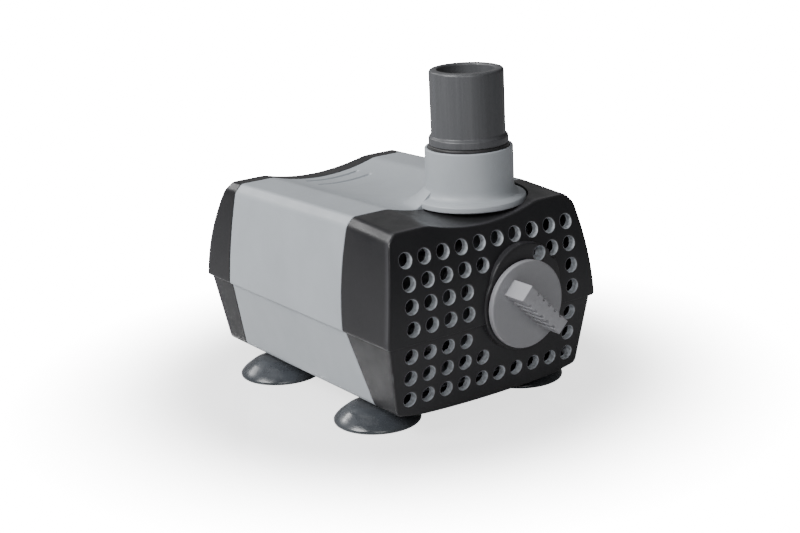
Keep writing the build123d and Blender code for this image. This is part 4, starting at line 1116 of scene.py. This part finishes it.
class PUMP_OT_stage(bpy.types.Operator):
    """Sets the pale floor, the soft lights and the camera."""

    bl_idname = "pump.stage"
    bl_label = "Stage"

    def execute(self, context):
        stage = context.scene.pump_stage
        scene = context.scene

        # level floor: rings about the middle of the pump, wider and wider
        turns, radii = 96, (0, 50, 200, 1000, 8000, 60000)
        points, _ = turned([(radius, 0) for radius in radii], (0, 0, 0), turns)
        mesh = bpy.data.meshes.new("floor")
        mesh.from_pydata((points * MM).tolist(), [], grid_quads(turns, len(radii), True).tolist())
        floor = placed("floor", mesh)

        # its emission, which only the camera and faintly a mirror see, grows with the distance from the pump:
        # the lower glow close to the pump is a painted shade round it, and lets the real shadows and
        # reflection show there
        material, tree, shader, place = blank_material("pale_floor")
        shader.inputs["Base Color"].default_value = (0.55, 0.55, 0.56, 1)
        tree.links.new(ranged(tree, noise(tree, place, 9.0, 3.0), 0.06, 0.1), shader.inputs["Roughness"])
        shader.inputs["IOR"].default_value = 1.9
        shader.inputs["Emission Color"].default_value = (1, 1, 1, 1)
        rays = tree.nodes.new("ShaderNodeLightPath")
        distance = tree.nodes.new("ShaderNodeVectorMath")
        distance.operation = "LENGTH"
        tree.links.new(place, distance.inputs[0])
        # near the pump the floor glows less: painted shade round the pump
        near_glow_painted_shade, glow_start, glow_end, mirror_share = 1.9, 0.055, 0.15, 0.005
        glow = ranged(tree, distance.outputs["Value"], near_glow_painted_shade, stage.floor_glow, glow_start, glow_end)
        glow.node.interpolation_type = "SMOOTHSTEP"
        seen = tree.nodes.new("ShaderNodeMath")
        seen.operation = "MULTIPLY_ADD"
        seen.inputs[1].default_value = mirror_share
        tree.links.new(rays.outputs["Is Glossy Ray"], seen.inputs[0])
        tree.links.new(rays.outputs["Is Camera Ray"], seen.inputs[2])
        strength = product(tree, glow, seen.outputs["Value"])
        tree.links.new(strength, shader.inputs["Emission Strength"])
        mesh.materials.append(material)

        # the room lights the pump dimly, and only the camera sees it bright
        world = bpy.data.worlds.new("room")
        scene.world = world
        world.use_nodes = True
        shade = world.node_tree.nodes["Background"]
        shade.inputs["Color"].default_value = (1, 1, 1, 1)
        direct = world.node_tree.nodes.new("ShaderNodeLightPath")
        strength = ranged(world.node_tree, direct.outputs["Is Camera Ray"], stage.surround, stage.floor_glow)
        world.node_tree.links.new(strength, shade.inputs["Strength"])

        # area lights: name, place, height aimed at, width and depth, power
        for name, place, aim, size, power in (
                ("key", (-0.76, 0.06, 0.66), 0.03, (0.5, 0.4), stage.key_power),
                ("fill", (-0.35, -0.62, 0.42), 0.03, (0.3, 0.3), stage.fill_power),
                ("top", (0.00, 0.25, 0.8), 0.04, (0.5, 0.5), stage.top_power),
                ("rim", (-0.27, 0.76, 0.52), 0.05, (0.22, 0.12), stage.rim_power),
                ("back", (0.50, 0.75, 0.36), 0.05, (0.5, 0.3), stage.back_power)):
            lamp = bpy.data.lights.new(name, "AREA")
            lamp.shape = "RECTANGLE"
            lamp.size, lamp.size_y = size
            lamp.energy = power
            light = placed(name, lamp)
            light.location = place
            away = Vector(place) - Vector((0, 0, aim))
            light.rotation_euler = away.to_track_quat("Z", "Y").to_euler()
            light.visible_camera = False

        # the camera's axes are its right, its up and the way back from the pump, rolled about the last
        camera = bpy.data.cameras.new("camera")
        camera.lens, camera.sensor_width = stage.lens, 36.0
        camera.clip_start, camera.clip_end = 0.01, 20
        eye = placed("camera", camera)
        a, e, r = stage.camera_azimuth, stage.camera_elevation, stage.camera_roll
        back = np.array([math.sin(a) * math.cos(e), -math.cos(a) * math.cos(e), math.sin(e)])
        right = np.array([math.cos(a), math.sin(a), 0])
        up = np.cross(back, right)
        turn = np.array([[math.cos(r), -math.sin(r), 0], [math.sin(r), math.cos(r), 0], [0, 0, 1]])
        rows = turn @ np.stack([right, up, back])
        pose = np.eye(4)
        pose[:3, :3] = rows.T
        pose[:3, 3] = stage.camera_place
        eye.matrix_world = Matrix(pose.tolist())
        scene.camera = eye
        return {"FINISHED"}


class PUMP_PT_sidebar(bpy.types.Panel):
    """Lists the pump's settings and the operators that build it."""

    bl_idname = "PUMP_PT_sidebar"
    bl_label = "Fountain Pump"
    bl_space_type = "VIEW_3D"
    bl_region_type = "UI"
    bl_category = "Fountain Pump"

    def draw(self, context):
        for group in (context.scene.pump_shape, context.scene.pump_finish, context.scene.pump_stage):
            column = self.layout.column(align=True)
            for name in group.bl_rna.properties.keys():
                if name not in ("rna_type", "name"):
                    column.prop(group, name)
        column = self.layout.column(align=True)
        for operator in OPERATORS:
            column.operator(operator.bl_idname)


SETTINGS = {
    "pump_shape": PumpShapeSettings,
    "pump_finish": PumpFinishSettings,
    "pump_stage": PumpStageSettings,
}
OPERATORS = (PUMP_OT_stage, PUMP_OT_strainer_cover, PUMP_OT_housing, PUMP_OT_rear_cap, PUMP_OT_outlet,
             PUMP_OT_dial, PUMP_OT_feet, PUMP_OT_gland, PUMP_OT_inner_parts)
CLASSES = (*SETTINGS.values(), *OPERATORS, PUMP_PT_sidebar)


def register():
    for cls in CLASSES:
        bpy.utils.register_class(cls)
    for name, group in SETTINGS.items():
        setattr(bpy.types.Scene, name, bpy.props.PointerProperty(type=group))


def unregister():
    for name in SETTINGS:
        delattr(bpy.types.Scene, name)
    for cls in reversed(CLASSES):
        bpy.utils.unregister_class(cls)


def main():
    """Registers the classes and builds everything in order."""
    register()
    for operator in OPERATORS:
        group, name = operator.bl_idname.split(".")
        getattr(getattr(bpy.ops, group), name)()


if __name__ == "__main__":
    main()
